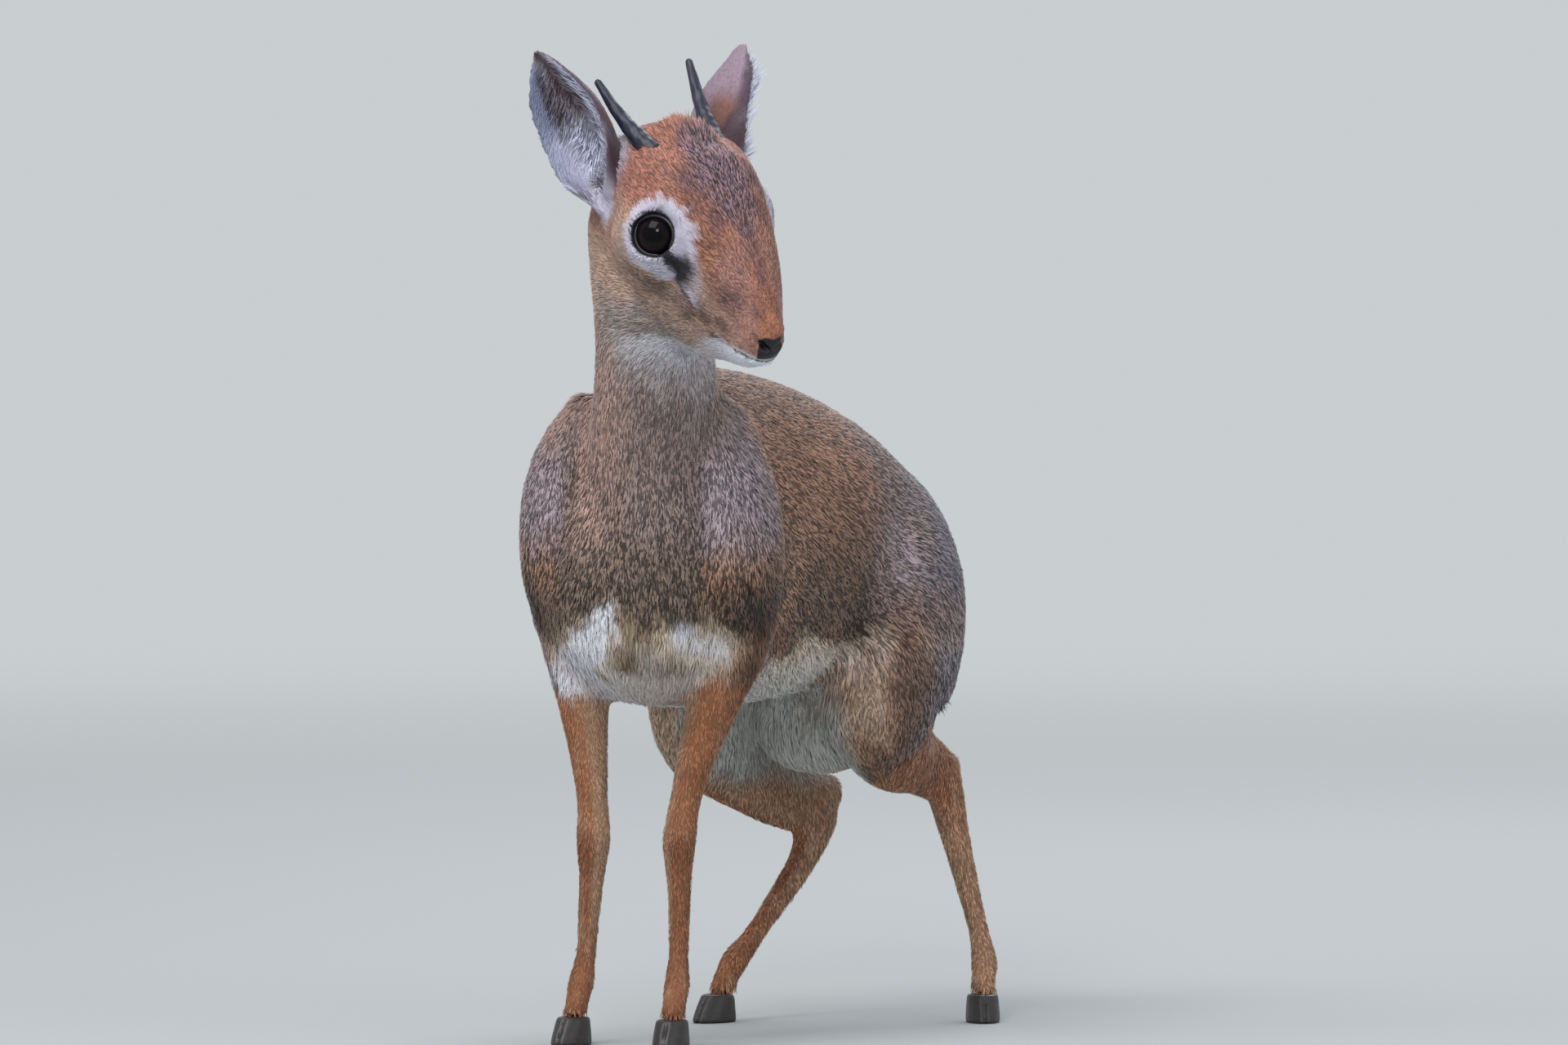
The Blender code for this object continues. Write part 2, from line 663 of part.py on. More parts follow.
def ear_form(sign):
    """A cupped shell, open toward the side of the head, curled nearly shut at its root."""
    root = head_point(sign, EAR_ROOT[sign])
    reach = head_vector(sign, EAR_REACH[sign])
    along = reach.normalized()
    facing = head_vector(sign, EAR_FACING)
    facing = (facing - along * facing.dot(along)).normalized()
    across = along.cross(facing)
    rows = read_curve([(share, 0.0, 0.0, breadth, curl) for share, breadth, curl in EAR], 22)
    rows[:, 0] = np.clip(rows[:, 0], 0.0, 1.0)
    sides = 18
    outer, inner = [], []
    for share, _, _, breadth, curl in rows:
        half = math.radians(curl)
        radius = breadth / math.sin(min(half, math.pi / 2))
        level = -EAR_TIP_BACK * max(0.0, (share - 0.7) / 0.3) ** 2
        centre = root + reach * share + facing * (radius * 0.55 - breadth * 0.3 + level)
        for j in range(sides):
            angle = half * (2 * j / (sides - 1) - 1)
            ray = across * math.sin(angle) - facing * math.cos(angle)
            rim = EAR_WALL * (0.55 + 0.45 * math.cos(math.pi * (j / (sides - 1) - 0.5)))
            outer.append(centre + ray * radius)
            inner.append(centre + ray * max(radius - rim, radius * 0.2))
    count = len(rows)
    verts = outer + inner
    shift = len(outer)
    faces = []
    for i in range(count - 1):
        for j in range(sides - 1):
            a, b = i * sides + j, i * sides + j + 1
            c, d = b + sides, a + sides
            faces.append((a, b, c, d))
            faces.append((a + shift, d + shift, c + shift, b + shift))
    for i in range(count - 1):
        for j in (0, sides - 1):
            a, b = i * sides + j, (i + 1) * sides + j
            faces.append((a, b, b + shift, a + shift))
    for i in (0, count - 1):
        for j in range(sides - 1):
            a, b = i * sides + j, i * sides + j + 1
            faces.append((a, b, b + shift, a + shift))
    return mesh_object("ear_form", verts, faces)


def horn_rings(sign, extra):
    """Rings of points up one horn, `extra` wider all over."""
    root = head_point(sign, HORN_ROOT)
    reach = head_vector(sign, HORN_REACH[sign])
    along = reach.normalized()
    across = along.cross(Vector((0, 0, 1))).normalized()
    other = along.cross(across)
    stations, sides = 22, 10
    start = -0.16
    rings = []
    for i in range(stations + 1):
        t = start + (1 - start) * i / stations
        wave = 0.00035 * math.cos(2 * math.pi * HORN_RINGS * t / 0.55) if 0 < t < 0.5 else 0.0
        radius = HORN_RADIUS + (HORN_TIP - HORN_RADIUS) * max(t, 0) ** 0.85 + wave + extra
        bow = other * (0.0018 * math.sin(math.pi * max(t, 0)))
        angle = np.linspace(0, 2 * math.pi, sides, endpoint=False)
        centre = root + reach * t + bow
        rays = [across * math.cos(a) + other * math.sin(a) for a in angle]
        rings.append(np.array([tuple(centre + ray * radius) for ray in rays]))
    tip = rings[-1].mean(axis=0)
    rings.append(tip + (rings[-1] - tip) * 0.55 + np.array(along) * (0.0008 + extra))
    return rings


def horn(name, sign, extra=0.0):
    return ring_tube(name, horn_rings(sign, extra))


def eyeball(name, sign, extra=0.0):
    centre, axes = eye_frame(sign)
    radius = EYE_RADIUS + extra
    return ball(name, centre, (radius, radius, radius), axes, 20, 12)


def box(name, centre, size, turn):
    """A box with its own turn (a 3x3 matrix)."""
    build = bmesh.new()
    bmesh.ops.create_cube(build, size=1.0)
    place = Matrix.Translation(centre) @ turn.to_4x4() @ Matrix.Diagonal((*size, 1.0))
    bmesh.ops.transform(build, matrix=place, verts=build.verts)
    mesh = bpy.data.meshes.new(name)
    build.to_mesh(mesh)
    build.free()
    obj = bpy.data.objects.new(name, mesh)
    bpy.context.scene.collection.objects.link(obj)
    obj.hide_render = True
    obj.display_type = "WIRE"
    return obj


def region(name, through, normal, reach, grow=0.0):
    """A box lying on the far side of the plane at `through` that faces along `normal`.

    `reach` gives its half width across, half width along and height; it grows by `grow` all round.
    """
    normal = Vector(normal).normalized()
    across = Vector((1, 0, 0)) if abs(normal.x) < 0.9 else Vector((0, 0, 1))
    across = (across - normal * across.dot(normal)).normalized()
    other = normal.cross(across)
    turn = Matrix((across, other, normal)).transposed()
    width, length, height = reach
    size = (2 * (width + grow), 2 * (length + grow), height + 2 * grow)
    return box(name, Vector(through) + normal * (height / 2), size, turn)


def combined(name, first, second, operation):
    """A new object: `first` cut by, cut to or joined with `second`; both stay as they are."""
    obj = bpy.data.objects.new(name, first.data.copy())
    bpy.context.scene.collection.objects.link(obj)
    cut = obj.modifiers.new("cut", "BOOLEAN")
    cut.operation = operation
    cut.solver = "EXACT"
    cut.object = second
    return apply_modifiers(obj)


def drop(*objects):
    for obj in objects:
        bpy.data.objects.remove(obj)


def largest_body(obj):
    """Keeps only the largest closed surface of a mesh."""
    build = bmesh.new()
    build.from_mesh(obj.data)
    bmesh.ops.remove_doubles(build, verts=build.verts, dist=0.00001)
    left, best = set(build.verts), []
    while left:
        stack = [left.pop()]
        found = []
        while stack:
            vert = stack.pop()
            found.append(vert)
            for edge in vert.link_edges:
                other = edge.other_vert(vert)
                if other in left:
                    left.remove(other)
                    stack.append(other)
        if len(found) > len(best):
            best = found
    keep = set(best)
    bmesh.ops.delete(build, geom=[v for v in build.verts if v not in keep], context="VERTS")
    bmesh.ops.recalc_face_normals(build, faces=build.faces)
    build.to_mesh(obj.data)
    build.free()
    return obj


def parted(name, whole, zone):
    """The part of `whole` inside a zone."""
    return largest_body(combined(name, whole, zone, "INTERSECT"))


def remaining(name, whole, zones):
    """`whole` with several zones taken out of it."""
    left = whole
    for zone in zones:
        cut = combined(name, left, zone, "DIFFERENCE")
        if left is not whole:
            drop(left)
        left = cut
    return largest_body(left)


def neck_form():
    return limb("neck_form", NECK, (1, 0.15, 0), rings=36, sides=28)


def body_flesh():
    forms = [torso_tube(), neck_form()]
    for name, stations in LEGS.items():
        forms.append(limb(name + "_form", stations, LEG_SIDES[name], rings=64))
    forms.append(limb("tail_form", TAIL, (1, 0.4, 0), rings=20, sides=14))
    for centre, radii in KNOBS:
        forms.append(ball("knob_form", centre, radii))
    return thinned(fuse(joined("body_flesh", forms), 0.0020, 40), BODY_TRIANGLES)


def head_flesh():
    forms = [head_tube(), neck_form(), ear_form(-1), ear_form(1)]
    for sign in (-1, 1):
        centre, axes = eye_frame(sign)
        forms.append(ball("orbit_form", centre - axes.col[2] * ORBIT_SINK, ORBIT, axes))
    forms += lips()
    place = head_matrix()
    forms.append(ball("crest_form", place @ CREST_PLACE, CREST_RADII, place.to_3x3()))
    return thinned(fuse(joined("head_flesh", forms), 0.0012, 9), HEAD_TRIANGLES)


def zone(name, grow=0.0):
    through, normal, reach = REGIONS[name]
    return region("zone_" + name, through, normal, reach, grow)


def leg_zone(name, grow=0.0):
    """A prism below a slanting line seen from the front."""
    (x0, z0), (x1, z1), (front, rear) = LEG_CUTS[name]
    away = 1 if x1 > x0 else -1
    slope = (z1 - z0) / (x1 - x0)
    lift = grow * math.hypot(1.0, slope)
    x0 -= away * grow
    z0 -= away * grow * slope
    outline = [(x0, z0 + lift), (x1, z1 + lift), (x1, -0.05), (x0, -0.05)]
    verts = [(x, y, z) for y in (front - grow, rear + grow) for x, z in outline]
    faces = [(0, 1, 2, 3), (4, 5, 6, 7), (0, 1, 5, 4), (1, 2, 6, 5), (2, 3, 7, 6), (3, 0, 4, 7)]
    obj = mesh_object("zone_" + name, verts, faces)
    obj.hide_render = True
    obj.display_type = "WIRE"
    return obj


def ear_zone(sign, grow=0.0):
    root = head_point(sign, EAR_ROOT[sign])
    reach = head_vector(sign, EAR_REACH[sign])
    facing = head_vector(sign, EAR_CUT_FACING)
    return region("zone_ear", root + reach * EAR_CUT, facing, (0.060, 0.060, 0.12), grow)


def hoof_claw(name, foot, side):
    """One pointed half of a cloven hoof; `side` is -1 or 1 across the foot."""
    ankle = Vector(LEGS[foot][-1][:3])
    turn = math.radians(HOOF_TURN[foot])
    ahead = Vector((math.sin(turn), -math.cos(turn), 0))
    across = Vector((math.cos(turn), math.sin(turn), 0))
    heel = Vector((ankle.x, ankle.y, 0)) - ahead * HOOF_HEEL
    # height, heel setback, toe reach, width, all as shares
    rows = [
        (0.0, 0.00, 1.00, 1.00),
        (0.10, 0.00, 1.01, 1.03),
        (0.45, 0.02, 0.90, 1.00),
        (0.80, 0.04, 0.76, 0.95),
        (1.0, 0.06, 0.68, 0.92),
    ]
    # outline of the sole, heel to toe: share of length, inner edge, outer edge
    outline = [
        (0.0, 0.10, 0.62),
        (0.10, 0.0, 0.90),
        (0.35, 0.0, 1.0),
        (0.65, 0.0, 0.90),
        (0.86, 0.0, 0.62),
        (1.0, 0.05, 0.22),
    ]
    rings = []
    for height, back, front, width in rows:
        loop = []
        for share, inner, outer in outline:
            loop.append((share, inner))
        for share, inner, outer in reversed(outline):
            loop.append((share, outer))
        ring = []
        for share, out in loop:
            length = HOOF_LENGTH * (back + (front - back) * share)
            reach = side * (HOOF_SPLIT / 2 + HOOF_WIDTH * width * out)
            point = heel + ahead * length + across * reach
            ring.append((point.x, point.y, (HOOF_TOP - GAP) * height))
        rings.append(np.array(ring))
    return ring_tube(name, rings)


def settle(objects):
    """Brings the middle of the bottom of everything to the origin."""
    points = np.array([tuple(v.co) for obj in objects for v in obj.data.vertices])
    low, high = points.min(axis=0), points.max(axis=0)
    shift = Matrix.Translation((-(low[0] + high[0]) / 2, -(low[1] + high[1]) / 2, -low[2]))
    for obj in objects:
        obj.data.transform(shift)


def main():
    clear_scene()
    body = body_flesh()
    head = head_flesh()
    neck_zone = zone("neck")
    head_zone = zone("head")
    nodes = {}

    ears = {}
    plain = parted("plain_skull", head, head_zone)
    skull = united("skull", plain, [lid_ring(-1), lid_ring(1)] + crest_locks(plain))
    cutters = face_cutters(plain)
    opened = remaining("opened_skull", skull, cutters)
    drop(plain, skull, *cutters)
    skull = opened
    for sign, side in ((-1, "right"), (1, "left")):
        grown = ear_zone(sign, GAP)
        inner = ear_zone(sign)
        ears[side] = parted("ear_" + side, skull, inner)
        sockets = [eyeball("socket", sign, GAP), eye_opening(sign), horn("horn_socket", sign, GAP)]
        cut = remaining("skull_cut", skull, [grown, *sockets])
        drop(skull, grown, inner, *sockets)
        skull = cut
        nodes["eye_" + side] = eyeball("eye_" + side, sign)
        nodes["horn_" + side] = horn("horn_" + side, sign)
        nodes["ear_" + side] = ears[side]
    nodes["head"] = skull

    grown_head = zone("head", GAP)
    neck_all = parted("neck_all", body, neck_zone)
    nodes["neck"] = remaining("neck", neck_all, [grown_head])
    drop(neck_all)

    zones = [zone("neck", GAP)]
    for name in ("foreleg_right", "foreleg_left", "hindleg_right", "hindleg_left"):
        zones.append(leg_zone(name, GAP))
        whole_leg = parted(name, body, leg_zone(name))
        under = box("ground", (0.02, 0.15, HAIR_LINE - 0.05), (0.4, 0.5, 0.1), Matrix.Identity(3))
        nodes[name] = remaining(name, whole_leg, [under])
        drop(whole_leg, under)
        outward = 1 if name.endswith("left") else -1
        for claw, side in (("inner", -outward), ("outer", outward)):
            label = "hoof_" + name + "_" + claw
            nodes[label] = hoof_claw(label, name, side)
    zones.append(zone("tail", GAP))
    nodes["tail"] = parted("tail", body, zone("tail"))
    nodes["torso"] = remaining("torso", body, zones)

    for obj in list(bpy.data.objects):
        if obj not in nodes.values():
            bpy.data.objects.remove(obj)
    paints = {
        "coat": material("coat_brown", COAT_BROWN, 0.85),
        "leg": material("leg_tan", LEG_TAN, 0.85),
        "face": material("head_tan", HEAD_TAN, 0.85),
        "ear": material("ear_grey", EAR_GREY, 0.85),
        "eye": material("eye_black", EYE_BLACK, 0.05),
        "horn": material("horn_black", HORN_BLACK, 0.45),
        "hoof": material("hoof_black", HOOF_BLACK, 0.5),
    }
    wear = {"torso": "coat", "neck": "coat", "tail": "coat", "head": "face"}
    for name, obj in nodes.items():
        obj.name = name
        obj.data.name = name
        kind = wear.get(name)
        if kind is None:
            kind = name.split("_")[0]
            kind = "leg" if kind in ("foreleg", "hindleg") else kind
        obj.data.materials.clear()
        obj.data.materials.append(paints[kind])
    settle(nodes.values())


main()
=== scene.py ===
"""A young male dik-dik, a small antelope, standing with its hind legs spread and its head turned.

The packed solids give every place. One skin replaces the solids of flesh, the coat is short tufts of
mesh that lie along the body, and the eyes, lids, horns and hooves are pieces of their own.
Metres, +Z up. The animal faces -Y, so +X is its own left.
"""

import math

import bmesh
import bpy
import numpy as np
from mathutils import Matrix, Vector, kdtree


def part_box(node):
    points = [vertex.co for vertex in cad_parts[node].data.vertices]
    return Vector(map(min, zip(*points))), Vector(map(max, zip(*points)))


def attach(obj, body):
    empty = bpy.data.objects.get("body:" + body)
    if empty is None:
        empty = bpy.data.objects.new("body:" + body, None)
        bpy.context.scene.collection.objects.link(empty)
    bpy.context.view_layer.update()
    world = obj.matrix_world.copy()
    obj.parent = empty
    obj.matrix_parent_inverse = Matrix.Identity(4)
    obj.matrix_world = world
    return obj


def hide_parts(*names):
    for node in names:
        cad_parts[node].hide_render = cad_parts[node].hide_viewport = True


bl_info = {
    "name": "Dik-dik model",
    "version": (1, 0, 0),
    "blender": (4, 5, 0),
    "location": "3D View > Sidebar > Dik-dik",
    "description": "Skin, coat, eyes, horns and hooves of a life-size dik-dik, with its stage",
    "category": "Mesh",
}

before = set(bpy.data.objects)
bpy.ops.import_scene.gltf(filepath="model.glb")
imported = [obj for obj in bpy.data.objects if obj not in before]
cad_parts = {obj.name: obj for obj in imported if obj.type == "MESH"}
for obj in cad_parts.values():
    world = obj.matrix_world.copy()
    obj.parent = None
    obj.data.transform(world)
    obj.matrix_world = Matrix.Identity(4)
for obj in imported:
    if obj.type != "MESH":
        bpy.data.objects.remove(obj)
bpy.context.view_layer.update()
SEED = 7
MM = 0.001

FLESH = (
    "head", "neck", "torso", "tail", "foreleg_left", "foreleg_right", "hindleg_left", "hindleg_right",
    "ear_left", "ear_right",
)

SIDES = ((-1, "right"), (1, "left"))

# Head coordinates: left, back and up from the nose tip, in millimetres.
HEAD_TURN = math.radians(60.0)
HEAD_DIP = math.radians(26.0)
HEAD_LEAN = math.radians(-6.0)
EYE_LOCAL = np.array([27.8, 72.0, 27.0])
EYE_RADIUS = 12.5
EYE_FORWARD = math.radians(28.0)
EYE_RAISE = math.radians(24.0)
GLAND_LOCAL = np.array([24.0, 49.0, 16.0])
# Dark spots on the head: place, reach each way, strength.
DARK_SPOTS = (
    ((20, 64, 60), (7, 13, 8), 0.85),
    ((14, 46, 48), (6, 10, 8), 0.8),
    ((22, 54, 50), (5, 8, 5), 0.7),
    ((14, 24, 15), (6, 11, 6), 0.55),
    ((22, 43, 2), (8, 9, 6), 0.7),
    ((6, 14, 12), (4, 10, 5), 0.55),
)
EAR_FACING = np.array([0.86, -0.36, -0.20])
EAR_REACH = {-1: np.array([41.5, 50.0, 62.0]), 1: np.array([65.0, 45.5, 47.5])}
EAR_ROOT = {-1: np.array([21.0, 112.0, 23.0]), 1: np.array([22.0, 112.0, 26.0])}
# Half breadth of an ear in millimetres at shares of its length.
EAR_SHARE = [0.0, 0.14, 0.30, 0.48, 0.63, 0.78, 0.90, 0.96, 1.0]
EAR_BREADTH = [9.8, 12.0, 17.5, 23.0, 22.0, 17.0, 10.0, 7.0, 4.0]

HORN_ROOT = np.array([20.0, 100.0, 60.0])
HORN_REACH = {-1: np.array([9.0, 42.0, 19.0]), 1: np.array([9.5, 44.0, 23.0])}

# The midline of the trunk in plan, from the chest backwards, as the body bends.
CHEST_FROM_NOSE = np.array([-0.0940, 0.0294])
FRONT_TURN = math.radians(8.0)
WHOLE_TURN = math.radians(-31.0)
TRUNK_LENGTH = 340.0

OVERLAP = 0.25 * MM  # each solid of flesh grows by this, so that they fuse
SKIN_TRIANGLES = 110000  # before the face is refined
HOOF_VOXEL = 0.55 * MM
HOOF_TRIANGLES = 36000

# Tufts at full number, by part.
COAT_SHARE = {
    "torso": 156000, "neck": 32000, "head": 84000, "legs": 66000, "ears": 22000, "tail": 3000,
}
EAR_FUR = 2.4 * MM  # length outside the long hair of the ears
TUFT_DEPTH = 0.2 * MM  # how far a root lies below the skin
TUFT_TRIANGLES = np.array([[0, 1, 2], [0, 2, 3], [1, 4, 2], [2, 4, 3]])
TUFT_PATCH = np.array([[0, -1], [-1, 0], [0, 0], [1, 0], [0, 1]]) * 0.0014  # on the map, round its root
FLECK = np.array([0.56, 0.47, 0.40])  # colour of the palest hairs of the grizzled coat

AIR_STRENGTH = 0.85
FLOOR_HALF = 30.0
CAMERA_AZIMUTH = math.radians(20.0)
CAMERA_RAISE = math.radians(2.5)
CAMERA_DISTANCE = 9.0
TARGET_FROM_NOSE = np.array([-0.0632, 0.1885, -0.0998])


def head_axes():
    """The head's left, back and up directions in the world, as columns."""
    turn = Matrix.Rotation(HEAD_TURN, 3, "Z") @ Matrix.Rotation(HEAD_DIP, 3, "X")
    return np.array(turn @ Matrix.Rotation(HEAD_LEAN, 3, "Y"))


def box_centre(node):
    low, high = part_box(node)
    return (np.array(low) + np.array(high)) / 2


HEAD = head_axes()
EYE_AT = {1: box_centre("eye_left"), -1: box_centre("eye_right")}
NOSE = (EYE_AT[1] + EYE_AT[-1]) / 2 - HEAD @ (EYE_LOCAL * MM * [0, 1, 1])


def to_head(points):
    return (points - NOSE) @ HEAD / MM


def from_head(points):
    return NOSE + np.asarray(points, float) * MM @ HEAD.T


def from_eye(side, local):
    """World place of a point in an eye's own coordinates."""
    return from_head(EYE_LOCAL * [side, 1, 1] + eye_axes(side) @ local)


def eye_axes(side):
    """Directions of an eye in head coordinates: forward, up and out, as columns."""
    out = np.array([
        side * math.cos(EYE_FORWARD) * math.cos(EYE_RAISE),
        -math.sin(EYE_FORWARD) * math.cos(EYE_RAISE),
        math.sin(EYE_RAISE),
    ])
    up = np.array([0.0, 0.0, 1.0]) - out * out[2]
    up /= np.linalg.norm(up)
    ahead = np.cross(out, up) * side
    return np.stack([ahead, up, out], 1)


def round_eye(head, side):
    """(the eye's axes, coordinates along them, distance and angle round its line of sight) of points."""
    axes = eye_axes(side)
    e = (head - EYE_LOCAL * [side, 1, 1]) @ axes
    return axes, e, np.hypot(e[:, 0], e[:, 1]), np.arctan2(e[:, 1], e[:, 0])


def colour_prop(name, description, rgb):
    """A colour given as 0 to 255, as a person reads it off a screen."""
    values = [c / 255 for c in rgb]
    linear = [c / 12.92 if c <= 0.04045 else ((c + 0.055) / 1.055) ** 2.4 for c in values]
    return bpy.props.FloatVectorProperty(
        name=name, description=description, subtype="COLOR", size=3, min=0.0, max=1.0, default=linear
    )


def size_prop(name, description, millimetres):
    return bpy.props.FloatProperty(
        name=name, description=description, default=millimetres * MM, min=0.0, unit="LENGTH", precision=5
    )


class DikdikColours(bpy.types.PropertyGroup):
    back: colour_prop("Back", "Warm brown along the back", (134, 96, 76))
    flank: colour_prop("Flank", "Tawny brown of the sides", (96, 70, 54))
    # Dark brown, and also painted shade: the armpit, the folds and furrows of the trunk and the outer upper
    # forelegs are darkened with it
    elbow: colour_prop("Elbow", "Dark brown behind the shoulder", (40, 28, 18))
    fold: colour_prop("Fold", "Paler fold behind the shoulder", (150, 116, 94))
    shoulder: colour_prop("Shoulder", "Greyish mauve beside the foot of the neck", (132, 116, 122))
    shoulder_brown: colour_prop("Shoulder side", "Tawny side of the shoulder", (124, 92, 72))
    rump: colour_prop("Rump", "Grizzled grey-brown of the haunches", (110, 92, 88))
    # Painted highlight: a lighter pinkish grey patch on the top of the haunch
    rump_light: colour_prop("Haunch", "Pinkish grey light patch of the haunch", (150, 134, 140))
    rump_grey: colour_prop("Lower rump", "Grey edge of the haunches", (98, 94, 104))
    neck: colour_prop("Neck", "Pinkish grey-brown of the neck", (150, 121, 110))
    neck_grey: colour_prop("Front of the neck", "Greyer middle of the neck", (114, 96, 90))
    neck_low: colour_prop("Foot of the neck", "Browner foot of the neck", (80, 64, 52))
    # Painted shade: the foot of the neck is painted darker where it meets the chest
    cream: colour_prop("Belly", "Cream of the belly and brisket", (204, 184, 160))
    brisket: colour_prop("Brisket", "Greyish tan between the forelegs", (116, 98, 78))
    white: colour_prop("White", "White of the chin and chest", (222, 222, 230))
    ring: colour_prop("Eye ring", "Greyish white of the eye rings", (196, 192, 208))
    inner: colour_prop("Inner thigh", "Pale grey inside the thighs", (182, 182, 176))
    leg: colour_prop("Legs", "Rusty tan of the legs", (152, 99, 66))
    # Dark rust of the joints, and also painted shade on the outside of the ears' front halves
    leg_dark: colour_prop("Leg shade", "Darker rust at the joints", (112, 66, 42))
    leg_pale: colour_prop("Inner legs", "Paler inner sides of the legs", (172, 138, 112))
    crown: colour_prop("Crown", "Rufous of the crown and forehead", (154, 102, 86))
    forehead: colour_prop("Forehead patch", "Purple-grey patch on the forehead", (92, 76, 92))
    bridge: colour_prop("Bridge", "Orange of the bridge of the nose", (154, 100, 76))
    # Pinkish tan of the muzzle, and also a painted sheen on the upward-facing top of the nose
    bridge_dark: colour_prop("Bridge streak", "Dark streak down the nose", (92, 68, 74))
    muzzle: colour_prop("Muzzle", "Pinkish tan of the muzzle", (142, 104, 96))
    cheek: colour_prop("Cheek", "Grizzled tan of the cheeks", (170, 141, 125))
    # Darker brown of the cheek, and also painted shade in the crease over the lips
    cheek_dark: colour_prop("Cheek shade", "Darker brown under the eye", (88, 64, 54))
    throat: colour_prop("Throat", "Pale greyish tan of the throat", (138, 126, 122))
    black: colour_prop("Black skin", "Bare skin of the lids, nose and gland", (30, 27, 32))
    ear_skin: colour_prop("Ear skin", "Skin inside the ears", (92, 70, 72))
    ear_hair: colour_prop("Ear hair", "Pale hair inside the ears", (196, 196, 216))
    ear_band: colour_prop("Ear band", "Blue-grey band along the rear margin", (140, 144, 170))
    ear_back: colour_prop("Ear back", "Outside of the ears", (140, 120, 134))
    ear_rim: colour_prop("Ear rim", "Dark rim of the ears", (58, 44, 58))
    horn: colour_prop("Horn", "Blue-black horn", (27, 29, 47))
    hoof: colour_prop("Hoof", "Black hooves", (36, 31, 30))
    iris: colour_prop("Iris", "Very dark brown iris", (24, 14, 11))
    floor: colour_prop("Floor", "Plain pale floor", (166, 169, 170))
    air: colour_prop("Air", "Pale air round the animal", (216, 221, 224))


class DikdikSizes(bpy.types.PropertyGroup):
    body_hair: size_prop("Body hair", "Length of a tuft on the body", 5.6)
    belly_hair: size_prop("Belly hair", "Length of a tuft on the belly and brisket", 15.0)
    neck_hair: size_prop("Neck hair", "Length of a tuft on the neck", 6.0)
    face_hair: size_prop("Face hair", "Length of a tuft on the cheeks", 4.0)
    nose_hair: size_prop("Nose hair", "Length of a tuft at the nose", 1.8)
    leg_hair: size_prop("Leg hair", "Length of a tuft on the legs", 4.0)
    ear_hair: size_prop("Ear hair", "Length of a tuft inside the ears", 10.0)
    crest_hair: size_prop("Crest hair", "Length of the tufts between the horns", 8.0)
    tail_hair: size_prop("Tail hair", "Length of a tuft on the tail", 8.0)
    voxel: size_prop("Skin grain", "Voxel that the skin is drawn from", 1.15)


class Sock:
    """A node socket that takes part in Python arithmetic."""

    def __init__(self, tree, socket):
        self.tree, self.socket = tree, socket

    def _maths(self, operation, first, second):
        return self.tree.node("ShaderNodeMath", {"operation": operation}, {0: first, 1: second})[0]

    def __add__(self, other):
        return self._maths("ADD", self, other)

    __radd__ = __add__

    def __sub__(self, other):
        return self._maths("SUBTRACT", self, other)

    def __rsub__(self, other):
        return self._maths("SUBTRACT", other, self)

    def __mul__(self, other):
        return self._maths("MULTIPLY", self, other)

    __rmul__ = __mul__

    def __truediv__(self, other):
        return self._maths("DIVIDE", self, other)

    def clamp(self):
        return self._maths("MINIMUM", self._maths("MAXIMUM", self, 0.0), 1.0)


class Tree:
    """A material's nodes, each made by one call."""

    def __init__(self, name):
        self.material = bpy.data.materials.new(name)
        self.material.use_nodes = True
        self.nodes, self.links = self.material.node_tree.nodes, self.material.node_tree.links
        self.shader = self.nodes["Principled BSDF"]

    def node(self, kind, settings=None, inputs=None):
        """Adds a node; gives its outputs."""
        made = self.nodes.new(kind)
        for key, value in (settings or {}).items():
            setattr(made, key, value)
        for key, value in (inputs or {}).items():
            self.put(made.inputs[key], value)
        return [Sock(self, out) for out in made.outputs]

    def put(self, socket, value):
        """Links a value to a socket or writes it there; a colour gets its alpha."""
        if isinstance(value, Sock):
            self.links.new(value.socket, socket)
        elif hasattr(socket.default_value, "__len__") and hasattr(value, "__len__"):
            full = list(value) + [1.0]
            socket.default_value = full[: len(socket.default_value)]
        else:
            socket.default_value = value

    def mix(self, first, second, factor, blend="MIX"):
        settings = {"data_type": "RGBA", "blend_type": blend}
        return self.node("ShaderNodeMix", settings, {0: factor, 6: first, 7: second})[2]

    def noise(self, place, scale, detail):
        inputs = {"Vector": place, "Scale": scale, "Detail": detail, "Roughness": 0.6}
        return self.node("ShaderNodeTexNoise", {"noise_dimensions": "3D"}, inputs)[0]

    def attribute(self, name):
        return self.node("ShaderNodeAttribute", {"attribute_name": name})

    def place(self):
        """Places in the object's own coordinates, in metres."""
        return self.node("ShaderNodeTexCoord")[3]

    def shaded(self, colour, shade):
        """A colour made lighter or darker by a value about 1."""
        grey = self.node("ShaderNodeCombineColor", {}, {0: shade, 1: shade, 2: shade})[0]
        return self.mix(colour, grey, 1.0, "MULTIPLY")

    def set(self, **inputs):
        for key, value in inputs.items():
            self.put(self.shader.inputs[key.replace("_", " ")], value)

    def bump(self, height, strength, distance):
        inputs = {"Strength": strength, "Distance": distance, "Height": height}
        return self.node("ShaderNodeBump", {}, inputs)[0]


def step(low, high, value):
    """0 below low, 1 above high, smooth between."""
    t = np.clip((value - low) / (high - low), 0.0, 1.0)
    return t * t * (3 - 2 * t)


def hump(value, middle, reach):
    """1 at middle, falling away smoothly over reach."""
    return np.exp(-(((value - middle) / reach) ** 2))


def along_line(x, y, start, end):
    """Distance of (x, y) from the line between two points of the plane."""
    way = np.subtract(end, start)
    t = np.clip(((x - start[0]) * way[0] + (y - start[1]) * way[1]) / (way @ way), 0, 1)
    return np.hypot(x - start[0] - t * way[0], y - start[1] - t * way[1])


def blob(distance, radius, soft):
    """1 inside radius, 0 beyond radius + soft."""
    return 1.0 - step(radius, radius + soft, distance)


